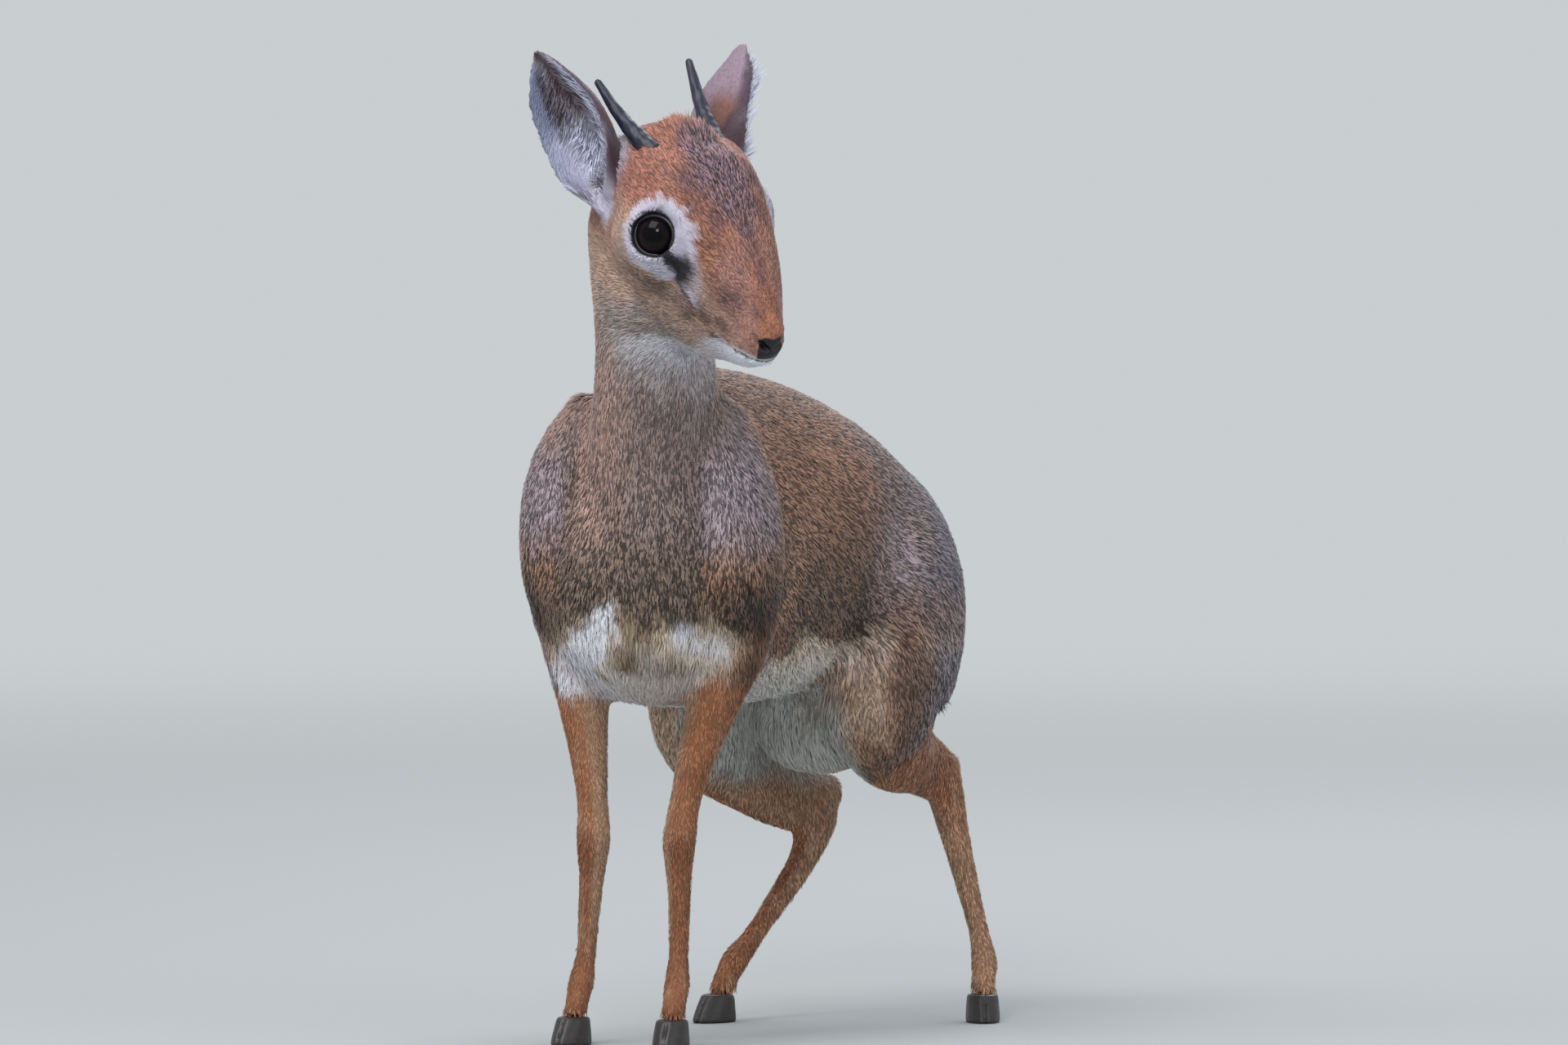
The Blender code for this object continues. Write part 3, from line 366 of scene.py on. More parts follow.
def ripple(points, size, seed):
    """Smooth random values between about -1 and 1 whose bumps are `size` across."""
    draw = np.random.default_rng(seed)
    waves = 9
    ways = draw.normal(size=(waves, 3))
    ways *= (2 * math.pi / size * draw.uniform(0.6, 1.4, waves) / np.linalg.norm(ways, axis=1))[:, None]
    phases = draw.uniform(0, 2 * math.pi, waves)
    return np.sin(points @ ways.T + phases).sum(1) / math.sqrt(waves)


def unit(vectors):
    return vectors / np.maximum(np.linalg.norm(vectors, axis=-1, keepdims=True), 1e-12)


def flat(vectors, normals):
    """Vectors laid down along the surface, at unit length."""
    return unit(vectors - normals * (vectors * normals).sum(1)[:, None])


def read_mesh(mesh):
    """(coordinates, triangles) of a mesh."""
    mesh.calc_loop_triangles()
    co = np.empty(len(mesh.vertices) * 3)
    mesh.vertices.foreach_get("co", co)
    tris = np.empty(len(mesh.loop_triangles) * 3, np.int32)
    mesh.loop_triangles.foreach_get("vertices", tris)
    return co.reshape(-1, 3), tris.reshape(-1, 3)


def make_mesh(name, co, faces, smooth=True):
    """A mesh from arrays; faces all have the same number of corners."""
    mesh = bpy.data.meshes.new(name)
    corners = faces.shape[1]
    mesh.vertices.add(len(co))
    mesh.vertices.foreach_set("co", np.ascontiguousarray(co, np.float32).ravel())
    mesh.loops.add(faces.size)
    mesh.loops.foreach_set("vertex_index", np.ascontiguousarray(faces, np.int32).ravel())
    mesh.polygons.add(len(faces))
    mesh.polygons.foreach_set("loop_start", np.arange(0, faces.size, corners, dtype=np.int32))
    mesh.polygons.foreach_set("use_smooth", np.full(len(faces), smooth))
    mesh.update(calc_edges=True)
    return mesh


def add_object(name, mesh):
    obj = bpy.data.objects.new(name, mesh)
    bpy.context.scene.collection.objects.link(obj)
    return obj


def edges_of(tris):
    pairs = np.concatenate([tris[:, [0, 1]], tris[:, [1, 2]], tris[:, [2, 0]]])
    pairs.sort(axis=1)
    return np.unique(pairs, axis=0)


def spread(values, edges, rounds, weight):
    """Moves each vertex's value towards the mean of its neighbours, `rounds` times."""
    count = len(values)
    values = np.array(values, float)
    degree = np.bincount(edges.ravel(), minlength=count)[:, None].clip(1)
    weight = np.broadcast_to(np.asarray(weight, float).reshape(-1, 1), (count, 1))
    for _ in range(rounds):
        total = np.empty_like(values)
        for k in range(values.shape[1]):
            total[:, k] = np.bincount(edges[:, 0], values[edges[:, 1], k], count)
            total[:, k] += np.bincount(edges[:, 1], values[edges[:, 0], k], count)
        values += (total / degree - values) * weight
    return values


def triangle_normals(co, tris):
    """Normals as long as twice the area of their triangles."""
    a, b, c = co[tris.T]
    return np.cross(b - a, c - a)


def vertex_normals(co, tris):
    faces = triangle_normals(co, tris)
    out = np.zeros_like(co)
    for k in range(3):
        for j in range(3):
            out[:, j] += np.bincount(tris[:, k], faces[:, j], len(co))
    return unit(out)


def evaluated(obj):
    """Applies the modifiers; gives the new (coordinates, triangles)."""
    bpy.context.view_layer.update()
    graph = bpy.context.evaluated_depsgraph_get()
    mesh = bpy.data.meshes.new_from_object(obj.evaluated_get(graph))
    obj.modifiers.clear()
    obj.data = mesh
    return read_mesh(mesh)


def fuse(obj, voxel):
    """Joins the shells of an object into one surface; gives its (coordinates, triangles)."""
    remesh = obj.modifiers.new("fuse", "REMESH")
    remesh.mode = "VOXEL"
    remesh.voxel_size = voxel
    return evaluated(obj)


def thin_out(obj, co, share, triangles):
    """Moves the vertices to `co` and keeps a share of the triangles."""
    obj.data.vertices.foreach_set("co", np.ascontiguousarray(co, np.float32).ravel())
    thin = obj.modifiers.new("thin", "DECIMATE")
    thin.ratio = share
    thin.use_collapse_triangulate = triangles
    evaluated(obj)


def gathered(nodes, grow):
    """The solids of these nodes in one object, each grown outwards by `grow`."""
    build = bmesh.new()
    mesh = bpy.data.meshes.new("flesh")
    for name in nodes:
        part = bmesh.new()
        part.from_mesh(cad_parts[name].data)
        bmesh.ops.remove_doubles(part, verts=part.verts, dist=0.00001)
        part.normal_update()
        for vert in part.verts:
            vert.co += vert.normal * grow
        part.to_mesh(mesh)
        part.free()
        build.from_mesh(mesh)
    build.to_mesh(mesh)
    build.free()
    return add_object("skin", mesh)


def owners(co):
    """The flesh node nearest to each point, as an index into FLESH."""
    points, names = [], []
    for i, name in enumerate(FLESH):
        corners, tris = read_mesh(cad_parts[name].data)
        own = np.concatenate([np.unique(corners.round(5), axis=0), corners[tris].mean(1)])
        points.append(own)
        names.append(np.full(len(own), i))
    points, names = np.concatenate(points), np.concatenate(names)
    tree = kdtree.KDTree(len(points))
    for i, point in enumerate(points):
        tree.insert(point, i)
    tree.balance()
    return names[[tree.find(p)[1] for p in co]]


class Skin:
    """The skin's coordinates, triangles, edges and normals."""

    def __init__(self, co, tris):
        self.tris, self.edges = tris, edges_of(tris)
        self.move_to(co)

    def move_to(self, co):
        self.co, self.normals = co, vertex_normals(co, self.tris)


def trunk_place(points):
    """(mm behind the chest, mm to the left of the midline, backward direction) of points in the world."""
    s = np.linspace(-60.0, TRUNK_LENGTH + 40.0, 200)
    way = FRONT_TURN + WHOLE_TURN / TRUNK_LENGTH * np.clip(s, 0, TRUNK_LENGTH)
    gap = s[1] - s[0]
    x, y = np.cumsum(-np.sin(way)) * gap, np.cumsum(np.cos(way)) * gap
    zero = np.argmin(np.abs(s))
    line = np.stack([x - x[zero], y - y[zero]], 1) * MM + NOSE[:2] + CHEST_FROM_NOSE
    back = np.stack([-np.sin(way), np.cos(way), np.zeros_like(way)], 1)
    nearest = np.empty(len(points), int)
    at_once = 20000
    for start in range(0, len(points), at_once):
        part = points[start : start + at_once, None, :2] - line[None]
        nearest[start : start + at_once] = (part**2).sum(2).argmin(1)
    offset = points[:, :2] - line[nearest]
    left = np.stack([np.cos(way), np.sin(way)], 1)[nearest]
    return s[nearest], (offset * left).sum(1) / MM, back[nearest]


def sculpt_face(head):
    """How far each point of the head moves (mm): nostrils, mouth, lids, gland and the crown."""
    move = np.zeros_like(head)
    side = np.sign(head[:, 0]) + (head[:, 0] == 0)
    h = head * np.stack([side, np.ones_like(side), np.ones_like(side)], 1)

    def near(path):
        """Distance from each point to a path on the left half of the face."""
        path = np.array(path, float)
        best = np.full(len(h), 1e9)
        for a, b in zip(path[:-1], path[1:]):
            t = np.clip(((h - a) @ (b - a)) / ((b - a) @ (b - a)), 0, 1)
            best = np.minimum(best, np.linalg.norm(h - a - t[:, None] * (b - a), axis=1))
        return best

    nostril = near([(2.4, -1.0, -4.6), (4.6, 0.0, -3.2), (6.6, 2.4, -0.8), (7.6, 5.6, 1.0)])
    dent = hump(nostril, 0, 1.5)
    move[:, 1] += dent * 2.6
    move[:, 0] -= side * dent * 1.2
    wing = hump(nostril, 3.0, 1.3) * (h[:, 1] < 9)
    move[:, 0] += side * wing * 0.5
    mouth = near([(0.0, 2.0, -12.6), (7.0, 4.5, -10.8), (11.0, 14.0, -9.6), (13.5, 27.0, -8.2)])
    groove = hump(mouth, 0, 0.8)
    move[:, 0] -= side * groove * 1.3
    move[:, 1] += groove * 1.3 * (h[:, 1] < 9)
    for sign, _ in SIDES:
        axes, e, r, turn = round_eye(head, sign)
        facing = e[:, 2] > -2
        ridge = hump(r, 15.5, 3.6) * (0.35 + 0.65 * hump(turn, 0.9, 1.1)) * facing
        move += (ridge * 2.6)[:, None] * axes[:, 2]
        hollow = hump(e[:, 0], 15.0, 5.0) * hump(e[:, 1], -13.0, 6.0) * facing
        move -= (hollow * 1.3)[:, None] * axes[:, 2]
    # The solid's tuft between the horns sinks to the crown, and hair takes its place.
    tuft = (np.abs(head[:, 0]) < 26) & (head[:, 1] > 70) & (head[:, 1] < 124)
    move[:, 2] -= 0.75 * np.clip(head[:, 2] - 68.5, 0, 14) * tuft
    return move


def lid_profile(turn):
    """Radius of the eye's opening (mm) at an angle round it, from forward through up."""
    corner = hump(np.angle(np.exp(1j * (turn - math.radians(-38)))), 0, 0.30)
    rear = hump(np.angle(np.exp(1j * (turn - math.radians(165)))), 0, 0.35)
    return 9.9 + 1.5 * corner + 0.5 * rear - 0.5 * np.maximum(np.sin(turn), 0) ** 2


def draw_skin(voxel):
    """One closed skin over the solids of flesh, softest where they meet on the trunk and legs."""
    obj = gathered(FLESH, OVERLAP)
    co, tris = fuse(obj, voxel)
    head = to_head(co)
    on_head = step(-70, -40, head[:, 2] - 0.25 * head[:, 1]) * step(170, 150, head[:, 1])
    ears = step(108, 122, head[:, 1] + 0.35 * head[:, 2]) * (head[:, 2] > 10)
    softness = np.where(ears > 0.5, 0.12, 1.0 - 0.8 * on_head) * 0.6
    co = spread(co, edges_of(tris), 30, softness)
    thin_out(obj, co, SKIN_TRIANGLES / len(tris), True)
    return obj


def refine_face(obj):
    """Splits the triangles near the eyes, nose and mouth so that small folds can be shaped."""
    for reach in (1.0, 0.55):
        build = bmesh.new()
        build.from_mesh(obj.data)
        co = np.array([v.co for v in build.verts])
        head = to_head(co)
        nose = np.linalg.norm((head - [0, 8, -5]) / [16, 26, 14], axis=1)
        head[:, 0] = np.abs(head[:, 0])
        eye = np.linalg.norm(head - EYE_LOCAL - [4, -6, -1], axis=1) / 24
        chosen = np.minimum(nose, eye) < reach + 0.15
        picked = [e for e in build.edges if chosen[e.verts[0].index] and chosen[e.verts[1].index]]
        bmesh.ops.subdivide_edges(build, edges=picked, cuts=1, use_grid_fill=False, smooth=0.0)
        bmesh.ops.triangulate(build, faces=build.faces)
        build.to_mesh(obj.data)
        build.free()


class Coat:
    """What the coat is like at each point of the skin."""

    def __init__(self, skin, colours, sizes):
        co = skin.co
        self.skin = skin
        self.c = {key: np.array(getattr(colours, key)) for key in DikdikColours.__annotations__}
        self.z = {key: getattr(sizes, key) for key in DikdikSizes.__annotations__}
        self.head, self.head_n = to_head(co), skin.normals @ HEAD
        self.ears = {side: self.ear(side) for side, _ in SIDES}
        self.owner = owners(co)
        # The foot of an ear's cup belongs to the ear and not to the head.
        for side, name in SIDES:
            share, breadth, _, across, _, facing = self.ears[side]
            out = (self.head - EAR_ROOT[side] * [side, 1, 1]) @ facing
            cup = (share > 0.13) & (np.hypot(across, out) < breadth * 1.35 + 2)
            self.owner[cup & (self.owner == FLESH.index("head"))] = FLESH.index("ear_" + name)
        weights = spread(np.eye(len(FLESH))[self.owner], skin.edges, 14, 0.7)
        self.w = w = {name: weights[:, i] for i, name in enumerate(FLESH)}
        self.fore = w["foreleg_left"] + w["foreleg_right"]
        self.hind = w["hindleg_left"] + w["hindleg_right"]
        self.s, self.left, self.back = trunk_place(co)
        self.high = co[:, 2] / MM
        self.wob, self.fine = ripple(co, 0.022, 3) * 5, ripple(co, 0.007, 4)
        # 1 on the crown between the horns, where the hair stands up.
        crown = np.linalg.norm((self.head - [0, 97, 72]) / [22, 18, 20], axis=1)
        self.crest = blob(crown, 0.5, 0.6) * w["head"]
        keys = ("inside", "along", "margin", "fore", "streak", "toward")
        self.on_ear = {key: np.zeros(len(co)) for key in keys}
        self.lie = self.lie_field()
        self.paint()
        self.measure()

    def ear(self, side):
        """Places on one ear: share of its length, half breadth there, how far the skin faces into the cup,
        distance across, and the ear's directions along and out of the cup."""
        mirror = np.array([side, 1, 1])
        reach, root = EAR_REACH[side] * mirror, EAR_ROOT[side] * mirror
        long = np.linalg.norm(reach)
        along = reach / long
        facing = EAR_FACING * mirror
        facing = unit(facing - along * (facing @ along))
        share = ((self.head - root) @ along) / long
        across = (self.head - root) @ np.cross(along, facing)
        breadth = np.interp(share, EAR_SHARE, EAR_BREADTH)
        line = root + along * (share * long)[:, None] + facing * breadth[:, None] * 0.55
        inward = (unit(line - self.head) * self.head_n).sum(1)
        return share, breadth, inward, across, along, facing

    def lie_field(self):
        """The direction each hair points, from root to tip, along the skin; also fills in on_ear."""
        n, w, head = self.skin.normals, self.w, self.head
        down = np.array([0.0, 0.0, -1.0])
        front = step(70, 20, self.s)[:, None]
        torso = (self.back * 0.9 + down * 0.75) * (1 - front) + (down + self.back * 0.1) * front
        neck = down + np.array([0.0, -0.12, 0.0])
        leg = down + self.back * 0.12
        eye_lie = 0.0
        for side, _ in SIDES:
            axes, e, r, _ = round_eye(head, side)
            away = unit(e[:, :1] * axes[:, 0] + e[:, 1:2] * axes[:, 1]) @ HEAD.T
            eye_lie = eye_lie + away * (blob(r, 12.5, 7.0) * (e[:, 2] > 0) * w["head"])[:, None]
        left_h, back_h, up_h = HEAD.T
        low = step(10, -20, head[:, 2])[:, None]
        face = back_h + up_h * (0.25 - 0.55 * low) + np.sign(head[:, :1]) * left_h * 0.18 * (1 - low)
        lie = torso * w["torso"][:, None] + neck * w["neck"][:, None] + down * w["tail"][:, None]
        lie += leg * (self.fore + self.hind)[:, None] + face * w["head"][:, None] + eye_lie * 1.6
        for side, name in SIDES:
            share, breadth, inward, across, along, facing = self.ears[side]
            weight = w["ear_" + name]
            margin = np.clip(np.abs(across) / breadth, 0, 1.2)
            inside = step(-0.15, 0.25, inward)
            fore = (across * -side > 0).astype(float)
            out = step(0.86, 0.96, margin) * fore * (side > 0)
            turn = np.sign(across) * inside * (0.9 * out - 0.85 * (1 - out) * step(0.1, 0.4, margin))
            flow = along * (1 - 0.5 * inside)[:, None] + np.cross(along, facing) * turn[:, None]
            lie += (flow @ HEAD.T) * weight[:, None]
            fan = np.stack([share * 60 + np.abs(across) * 0.9, across * 0.15, share * 0], 1)
            toward = self.head_n @ unit(np.array([0.62 * side, -0.78, -0.1]))
            found = (inside, share, margin, fore, ripple(fan, 3.2, 17), toward)
            for key, value in zip(self.on_ear, found):
                self.on_ear[key] = np.where(weight > 0.3, value, self.on_ear[key])
        return flat(spread(flat(lie, n), self.skin.edges, 18, 0.7), n)

    def lay(self, first, *layers):
        """Colours laid one over another; each layer is a colour, by name or value, and where it shows."""
        under = np.tile(self.c[first], (len(self.high), 1)) if isinstance(first, str) else first
        for colour, mask in layers:
            colour = self.c[colour] if isinstance(colour, str) else colour
            under = under + (colour - under) * mask[:, None]
        return under

    def paint(self):
        """Colour, contrast and bareness of the coat."""
        w, n, legs = self.w, self.skin.normals, self.hind + self.fore
        ears = w["ear_left"] + w["ear_right"]
        body, neck, leg, ear = self.paint_trunk(), self.paint_neck(), self.paint_legs(), self.paint_ears()
        face, face_contrast, bare = self.paint_face()
        colour = body * w["torso"][:, None] + neck * w["neck"][:, None]
        colour += body * w["tail"][:, None] + leg * legs[:, None] + face * w["head"][:, None]
        colour += ear * ears[:, None]
        self.colour = colour
        pale = np.clip(colour.min(1) / 0.50, 0, 1)
        contrast = 0.9 * w["torso"] + 0.70 * w["neck"] + 0.60 * w["tail"] + 0.66 * legs
        contrast += self.haunch * 0.5
        contrast += face_contrast * w["head"] + (0.22 + 0.5 * self.ear_mixed) * ears
        quiet = np.clip(self.chest * 0.5 + self.haunch * step(-0.1, 0.5, -n[:, 1]) * 0.5, 0, 1)
        self.contrast = contrast * (1 - 0.80 * pale * (1 - self.ear_mixed)) * (1 - quiet)
        self.bare = bare * w["head"]

    def paint_trunk(self):
        """Colours of the trunk and the foot of the neck; keeps the furrow, the chest and the belly."""
        w, n = self.w, self.skin.normals
        s, left, h = self.s, self.left, self.high
        wob, fine, broad = self.wob, self.fine, ripple(self.skin.co, 0.050, 8)
        side = np.abs(left)
        mauve = step(76, 44, s + wob) * step(244, 274, h + wob)
        dark = hump(s, 40, 20) * hump(h, 220, 20) * step(46, 56, side)
        # The foot of the neck spreads over the front of the trunk, down to a furrow on each side.
        shield = side + np.maximum(s - 14, 0) * 0.45 - np.maximum(h - 290, 0) * 0.12
        front = step(44, 32, shield) * step(62, 40, s)
        stem = self.lay(
            "neck_grey",
            ("neck", step(6, -22, left + wob) * 0.8),
            # Painted shade, darker at the foot of the neck
            ("neck_low", step(282, 240, h + wob) * 0.92),
        )
        self.furrow = hump(shield, 39, 5) * (step(62, 40, s) * step(228, 250, h) * w["torso"])
        self.furrow += 0.9 * hump(s, 190, 9) * step(268, 236, h) * step(192, 206, h) * w["torso"]
        # White marks on the chest, with soft edges.
        self.chest = step(64, 46, s) * step(228, 214, h + wob + 3 * fine)
        swath = along_line(left, h, (-9, 226), (-38, 196)) + 1.6 * fine + wob * 0.3
        tongue = along_line(left, h, (29, 215), (45, 208)) + 1.2 * fine
        lower = step(230, 202, h)
        bright = np.maximum(blob(swath, 0.5 + 8 * lower, 6 + 4 * lower), blob(tongue, 1.0, 8) * 0.85)
        self.bright = bright * step(64, 50, s)
        soft = np.maximum(blob(swath, 3 + 8 * lower, 14), blob(tongue, 6, 12)) * step(64, 50, s)
        low = step(210, 192, h + wob) * step(66, 50, s)
        belly = step(210, 196, h + wob + 3 * fine) * step(54, 74, s) * step(0.6, 0.1, n[:, 2])
        self.belly = belly = belly * (1 - step(0.2, 0.7, n[:, 1]) * step(22, 40, side + wob))
        edge = hump(s - (200 - h) * 0.1, 186, 7) * step(206, 190, h) * step(30, 40, side)
        return self.lay(
            "flank",
            ("back", step(236, 292, h + wob + 6 * broad)),
            ("elbow", step(312, 336, h + wob) * 0.30),
            ("fold", hump(s, 100 + (h - 240) * 0.1, 9) * step(206, 226, h) * step(284, 262, h) * 0.6),
            ("elbow", hump(s, 138, 16) * step(248, 214, h + wob) * 0.45),
            ("rump", step(176, 250, s + wob * 2)),
            # Painted shade in the fold in front of the thigh
            ("elbow", hump(s, 186, 15) * step(246, 214, h + wob) * step(188, 200, h) * 0.55),
            # Painted highlight on the top of the haunch
            ("rump_light", hump(s, 224, 20) * hump(h, 246, 20) * (0.75 + 0.3 * fine)),
            ("rump_grey", step(226, 276, s + wob + 3 * broad + (250 - h) * 0.42) * 0.9),
            ("shoulder_brown", step(84, 56, s + wob) * step(228, 246, h + wob) * 0.9),
            ("shoulder", mauve * step(26, 40, side)),
            # Painted shade at the elbow and armpit behind the shoulder
            ("elbow", np.clip(dark * 1.25 + 0.12 * dark * fine, 0, 1)),
            (stem, front * step(216, 230, h + wob * 0.8)),
            # Painted shade in the furrows beside the neck and in front of the thigh
            ("elbow", np.clip(self.furrow, 0, 1) * 0.42),
            ("brisket", self.chest * step(52, 44, side)),
            ("cream", np.clip(soft * 0.7 + low * (0.6 + 0.2 * fine), 0, 1) * self.chest),
            ("white", np.maximum(self.bright * 0.85, low * (0.35 + 0.4 * step(4, -22, left)))),
            ("cream", belly),
            ("white", belly * step(206, 192, h + wob) * 0.35),
            ("fold", belly * hump(s, 168, 12) * step(196, 206, h) * 0.5),
            ("inner", belly * step(-0.45, -0.9, n[:, 2]) * 0.8),
            ("inner", step(190, 176, h) * step(60, 76, s) * 0.85),
            ("fold", edge * 0.8),
        )

    def paint_neck(self):
        n = self.skin.normals
        high = step(348, 372, self.high + self.wob)
        return self.lay(
            "neck",
            ("neck_grey", step(-0.5, 0.3, n[:, 0] - n[:, 1] * 0.2)),
            ("throat", high * step(0.0, 0.6, n[:, 0] - n[:, 1] * 0.5) * step(0.3, -0.2, n[:, 1]) * 0.6),
            ("back", step(-0.1, 0.6, n[:, 1]) * 0.8),
        )

    def paint_legs(self):
        """Colours of the legs; keeps where the haunch, the inner thigh and the upper foreleg are."""
        co, n = self.skin.co, self.skin.normals
        s, left, h = self.s, self.left, self.high
        wob, fine, hind, fore = self.wob, self.fine, self.hind, self.fore
        side = np.abs(left)
        middle = np.where(left > 0, 1.0, -1.0)
        inner = step(0.10, 0.75, -n[:, 0] * middle)
        hocks = hind * step(-0.2, 0.5, n[:, 1]) * hump(h, 118, 22)
        knots = ripple(co, 0.014, 31)
        worn = step(0.2, 1.4, ripple(co, 0.030, 9)) * 0.3
        shin = step(216, 200, s + wob * 0.7 + (h - 170) * 0.12 + 2 * fine) * step(206, 184, h + wob)
        outer = self.lay(
            "rump",
            ("flank", step(-0.1, 0.5, -n[:, 1]) * 0.8),
            ("rump_grey", step(-0.1, 0.6, n[:, 1]) * 0.95),
            ("rump_grey", step(220, 248, s + wob) * 0.8),
            ("fold", shin * 0.8),
            ("cream", shin * step(206, 192, s + wob) * 0.38),
        )
        self.haunch = hind * step(116, 142, h + wob - 28 * step(222, 244, s))
        inside = hind * step(118, 138, h + wob * 0.6) * np.maximum.reduce([
            inner,
            step(40, 26, side) * step(-0.6, 0.2, -n[:, 1]),
            step(40, 20, side + wob) * step(0.0, 0.6, n[:, 1]),
        ])
        self.inner_thigh = np.clip(inside, 0, 1)
        self.forearm = fore * step(176, 200, h + wob)
        return self.lay(
            "leg",
            ("leg_dark", step(150, 60, h) * (0.45 * fore + 0.2 * hind) + worn),
            ("leg_pale", step(0.3, 1.4, ripple(co * [1, 1, 0.35], 0.010, 21)) * 0.5),
            ("leg_pale", hind * (left > 0) * step(130, 90, h) * step(0.3, -0.5, n[:, 1]) * 0.6),
            ("leg_dark", hump(h, 100, 12) * fore * step(0.2, -0.6, n[:, 1]) * 0.6),
            ("leg_pale", inner * step(34, 80, h) * 0.75),
            ("leg_dark", hocks * step(0.1, 0.9, knots) * 0.9),
            ("leg_pale", hocks * step(-0.2, -1.0, knots) * 0.8),
            (outer, self.haunch),
            ("inner", self.inner_thigh * 0.95),
            ("cream", self.forearm * step(-0.1, 0.4, -n[:, 1]) * step(0.2, -0.2, n[:, 0] * middle) * 0.6),
            ("white", fore * np.clip(self.bright * 1.1, 0, 1)),
            # Painted shade on the outer side of the upper forelegs
            ("elbow", self.forearm * step(0.3, 0.8, n[:, 0] * middle) * 0.8),
        )

    def paint_ears(self):
        """Colours of the ears, outside and inside; also where the long pale hair inside them grows."""
        fine = self.fine
        inside, along, margin, fore, ear_streak, toward = self.on_ear.values()
        rear = 1 - fore
        streak = np.clip(0.72 + 0.5 * ear_streak, 0, 1)
        hairy = step(0.20, 0.62, margin + 0.10 * fine) * step(1.02, 0.90, along)
        hairy = np.maximum(hairy * (0.6 + 0.4 * step(0.5, 0.22, along)), 0.35 * step(0.3, 1.0, ear_streak))
        line = hump(margin, 0.68, 0.09) * rear * step(0.95, 0.8, along) * step(0.25, 0.4, along)
        band = fore * hump(margin, 0.72, 0.12) * step(0.16, 0.3, along) * step(0.75, 0.55, along)
        slit = hump(margin, 0.15, 0.16) * step(0.42, 0.30, along)
        cup = self.lay(
            "ear_skin",
            ("ear_hair", hairy * streak),
            ("ear_band", rear * step(0.74, 0.80, margin)),
            ("ear_rim", line * 0.85),
            ("ear_rim", band * 0.8),
            ("ear_rim", slit * 0.9),
            ("ear_rim", step(0.93, 1.0, along)),
            ("ear_hair", fore * step(0.84, 0.92, margin) * step(0.95, 0.8, along) * 0.9),
        )
        foot = step(-0.1, 0.4, toward) * step(0.54, 0.42, along) * step(1.1, 0.8, margin)
        fold = foot * hump(margin, 0.1, 0.2) * step(0.16, 0.26, along) * step(0.5, 0.36, along)
        hairs = inside * step(1.0, 0.7, along) * step(0.12, 0.4, margin)
        self.ear_long = hairs * (1 - 0.75 * rear * step(0.7, 0.8, margin))
        self.ear_mixed = self.ear_long * step(0.88, 0.74, margin)
        return self.lay(
            "ear_back",
            ("crown", step(0.46, 0.22, along + 0.04 * fine) * 0.55),
            # The outside of each ear's front half is darker rust: partly the ear's own rufous, partly
            # painted shade
            ("leg_dark", (1 - inside) * fore * step(0.62, 0.45, along) * step(0.3, 0.7, margin) * 0.8),
            ("ear_rim", step(0.88, 0.98, margin) * (1 - inside) * 0.8),
            (cup, inside),
            ("ear_hair", foot * (0.85 + 0.15 * fine)),
            ("ear_rim", fold * 0.85),
        )

    def paint_face(self):
        """Colours of the head, their contrast, and where the skin is bare."""
        wob, fine = self.wob, self.fine
        across = np.abs(self.head[:, 0])
        b, u = self.head[:, 1], self.head[:, 2]
        nz = self.head_n[:, 2]
        mottle, patchy = ripple(self.skin.co, 0.0035, 41), ripple(self.skin.co, 0.013, 42)
        place = np.stack([across, b, u], 1)

        def spot(at, reach=(1, 1, 1)):
            """Distance from a place on either side of the head, in shares of the reach each way."""
            return np.linalg.norm((place - at) / reach, axis=1)

        rise = np.interp(b, [0, 20, 43, 72, 100], [-6, 8, 22, 34, 40])
        top = step(-8, 8, u - rise + wob * 0.5)
        brow = np.hypot((b - 46) / 9, (u - 30) / 12)
        foot = spot([34, 114, 26], [12, 11, 15])
        behind = (1 - blob(foot, 0.75, 0.4)) * step(84, 100, b) * step(44, 24, u) * step(-6, 10, u)
        streak = hump(across / (2.4 + 0.04 * b), 0, 1) * step(8, 16, b) * step(56, 40, b)
        wide = np.interp(b, [34, 48, 63, 78, 92, 108], [4, 12, 18.5, 15, 11, 8])
        patch = blob(across + 2.2 * fine, wide * 0.72, wide * 0.5) * step(30, 50, b + 3 * fine)
        patch = patch * step(102, 88, b) * step(30, 42, u)
        dark = self.c["bridge_dark"] * [1.0, 0.9, 0.85]
        spots = [
            (dark, blob(spot(at, reach) + 0.15 * patchy, 0.4, 0.9) * amount)
            for at, reach, amount in DARK_SPOTS
        ]
        face = self.lay(
            "cheek",
            ("throat", step(-14, -27, u + wob * 0.5) * step(36, 60, b) * step(114, 94, b)),
            ("cheek_dark", hump(b, 66, 17) * hump(u, 2, 9) * step(8, 16, across) * 0.6),
            ("bridge", top),
            ("muzzle", step(44, 22, b) * step(4.0, 10.0, across) * 0.8),
            # Painted sheen: a pinker tint on the upward-facing top of the nose
            ("muzzle", hump(across, 5, 5) * hump(b, 30, 16) * step(0.1, 0.6, nz) * (0.6 + 0.2 * patchy)),
            ("cheek_dark", blob(brow + 0.15 * patchy, 0.3, 0.9) * step(8, 14, across) * 0.45),
            ("crown", step(60, 84, b + (u - 40) * 0.3) * step(28, 44, u)),
            ("ear_hair", blob(foot + 0.08 * fine, 0.75, 0.4) * 0.85),
            ("crown", behind * 0.6),
            ("bridge_dark", streak * step(0.0, 0.5, nz) * np.clip(0.6 + 0.2 * fine + 0.25 * patchy, 0, 1)),
            ("bridge_dark", step(0.5, 1.5, patchy + 0.4 * mottle) * step(12, 24, b) * top * 0.45),
            ("forehead", patch * (0.80 + 0.16 * fine)),
            *spots,
            ("cheek", blob(spot([17, 22, 4], [5, 6, 4]), 0.4, 0.8) * 0.5),
        )
        face = face * (1 + 0.12 * mottle + 0.10 * patchy)[:, None]
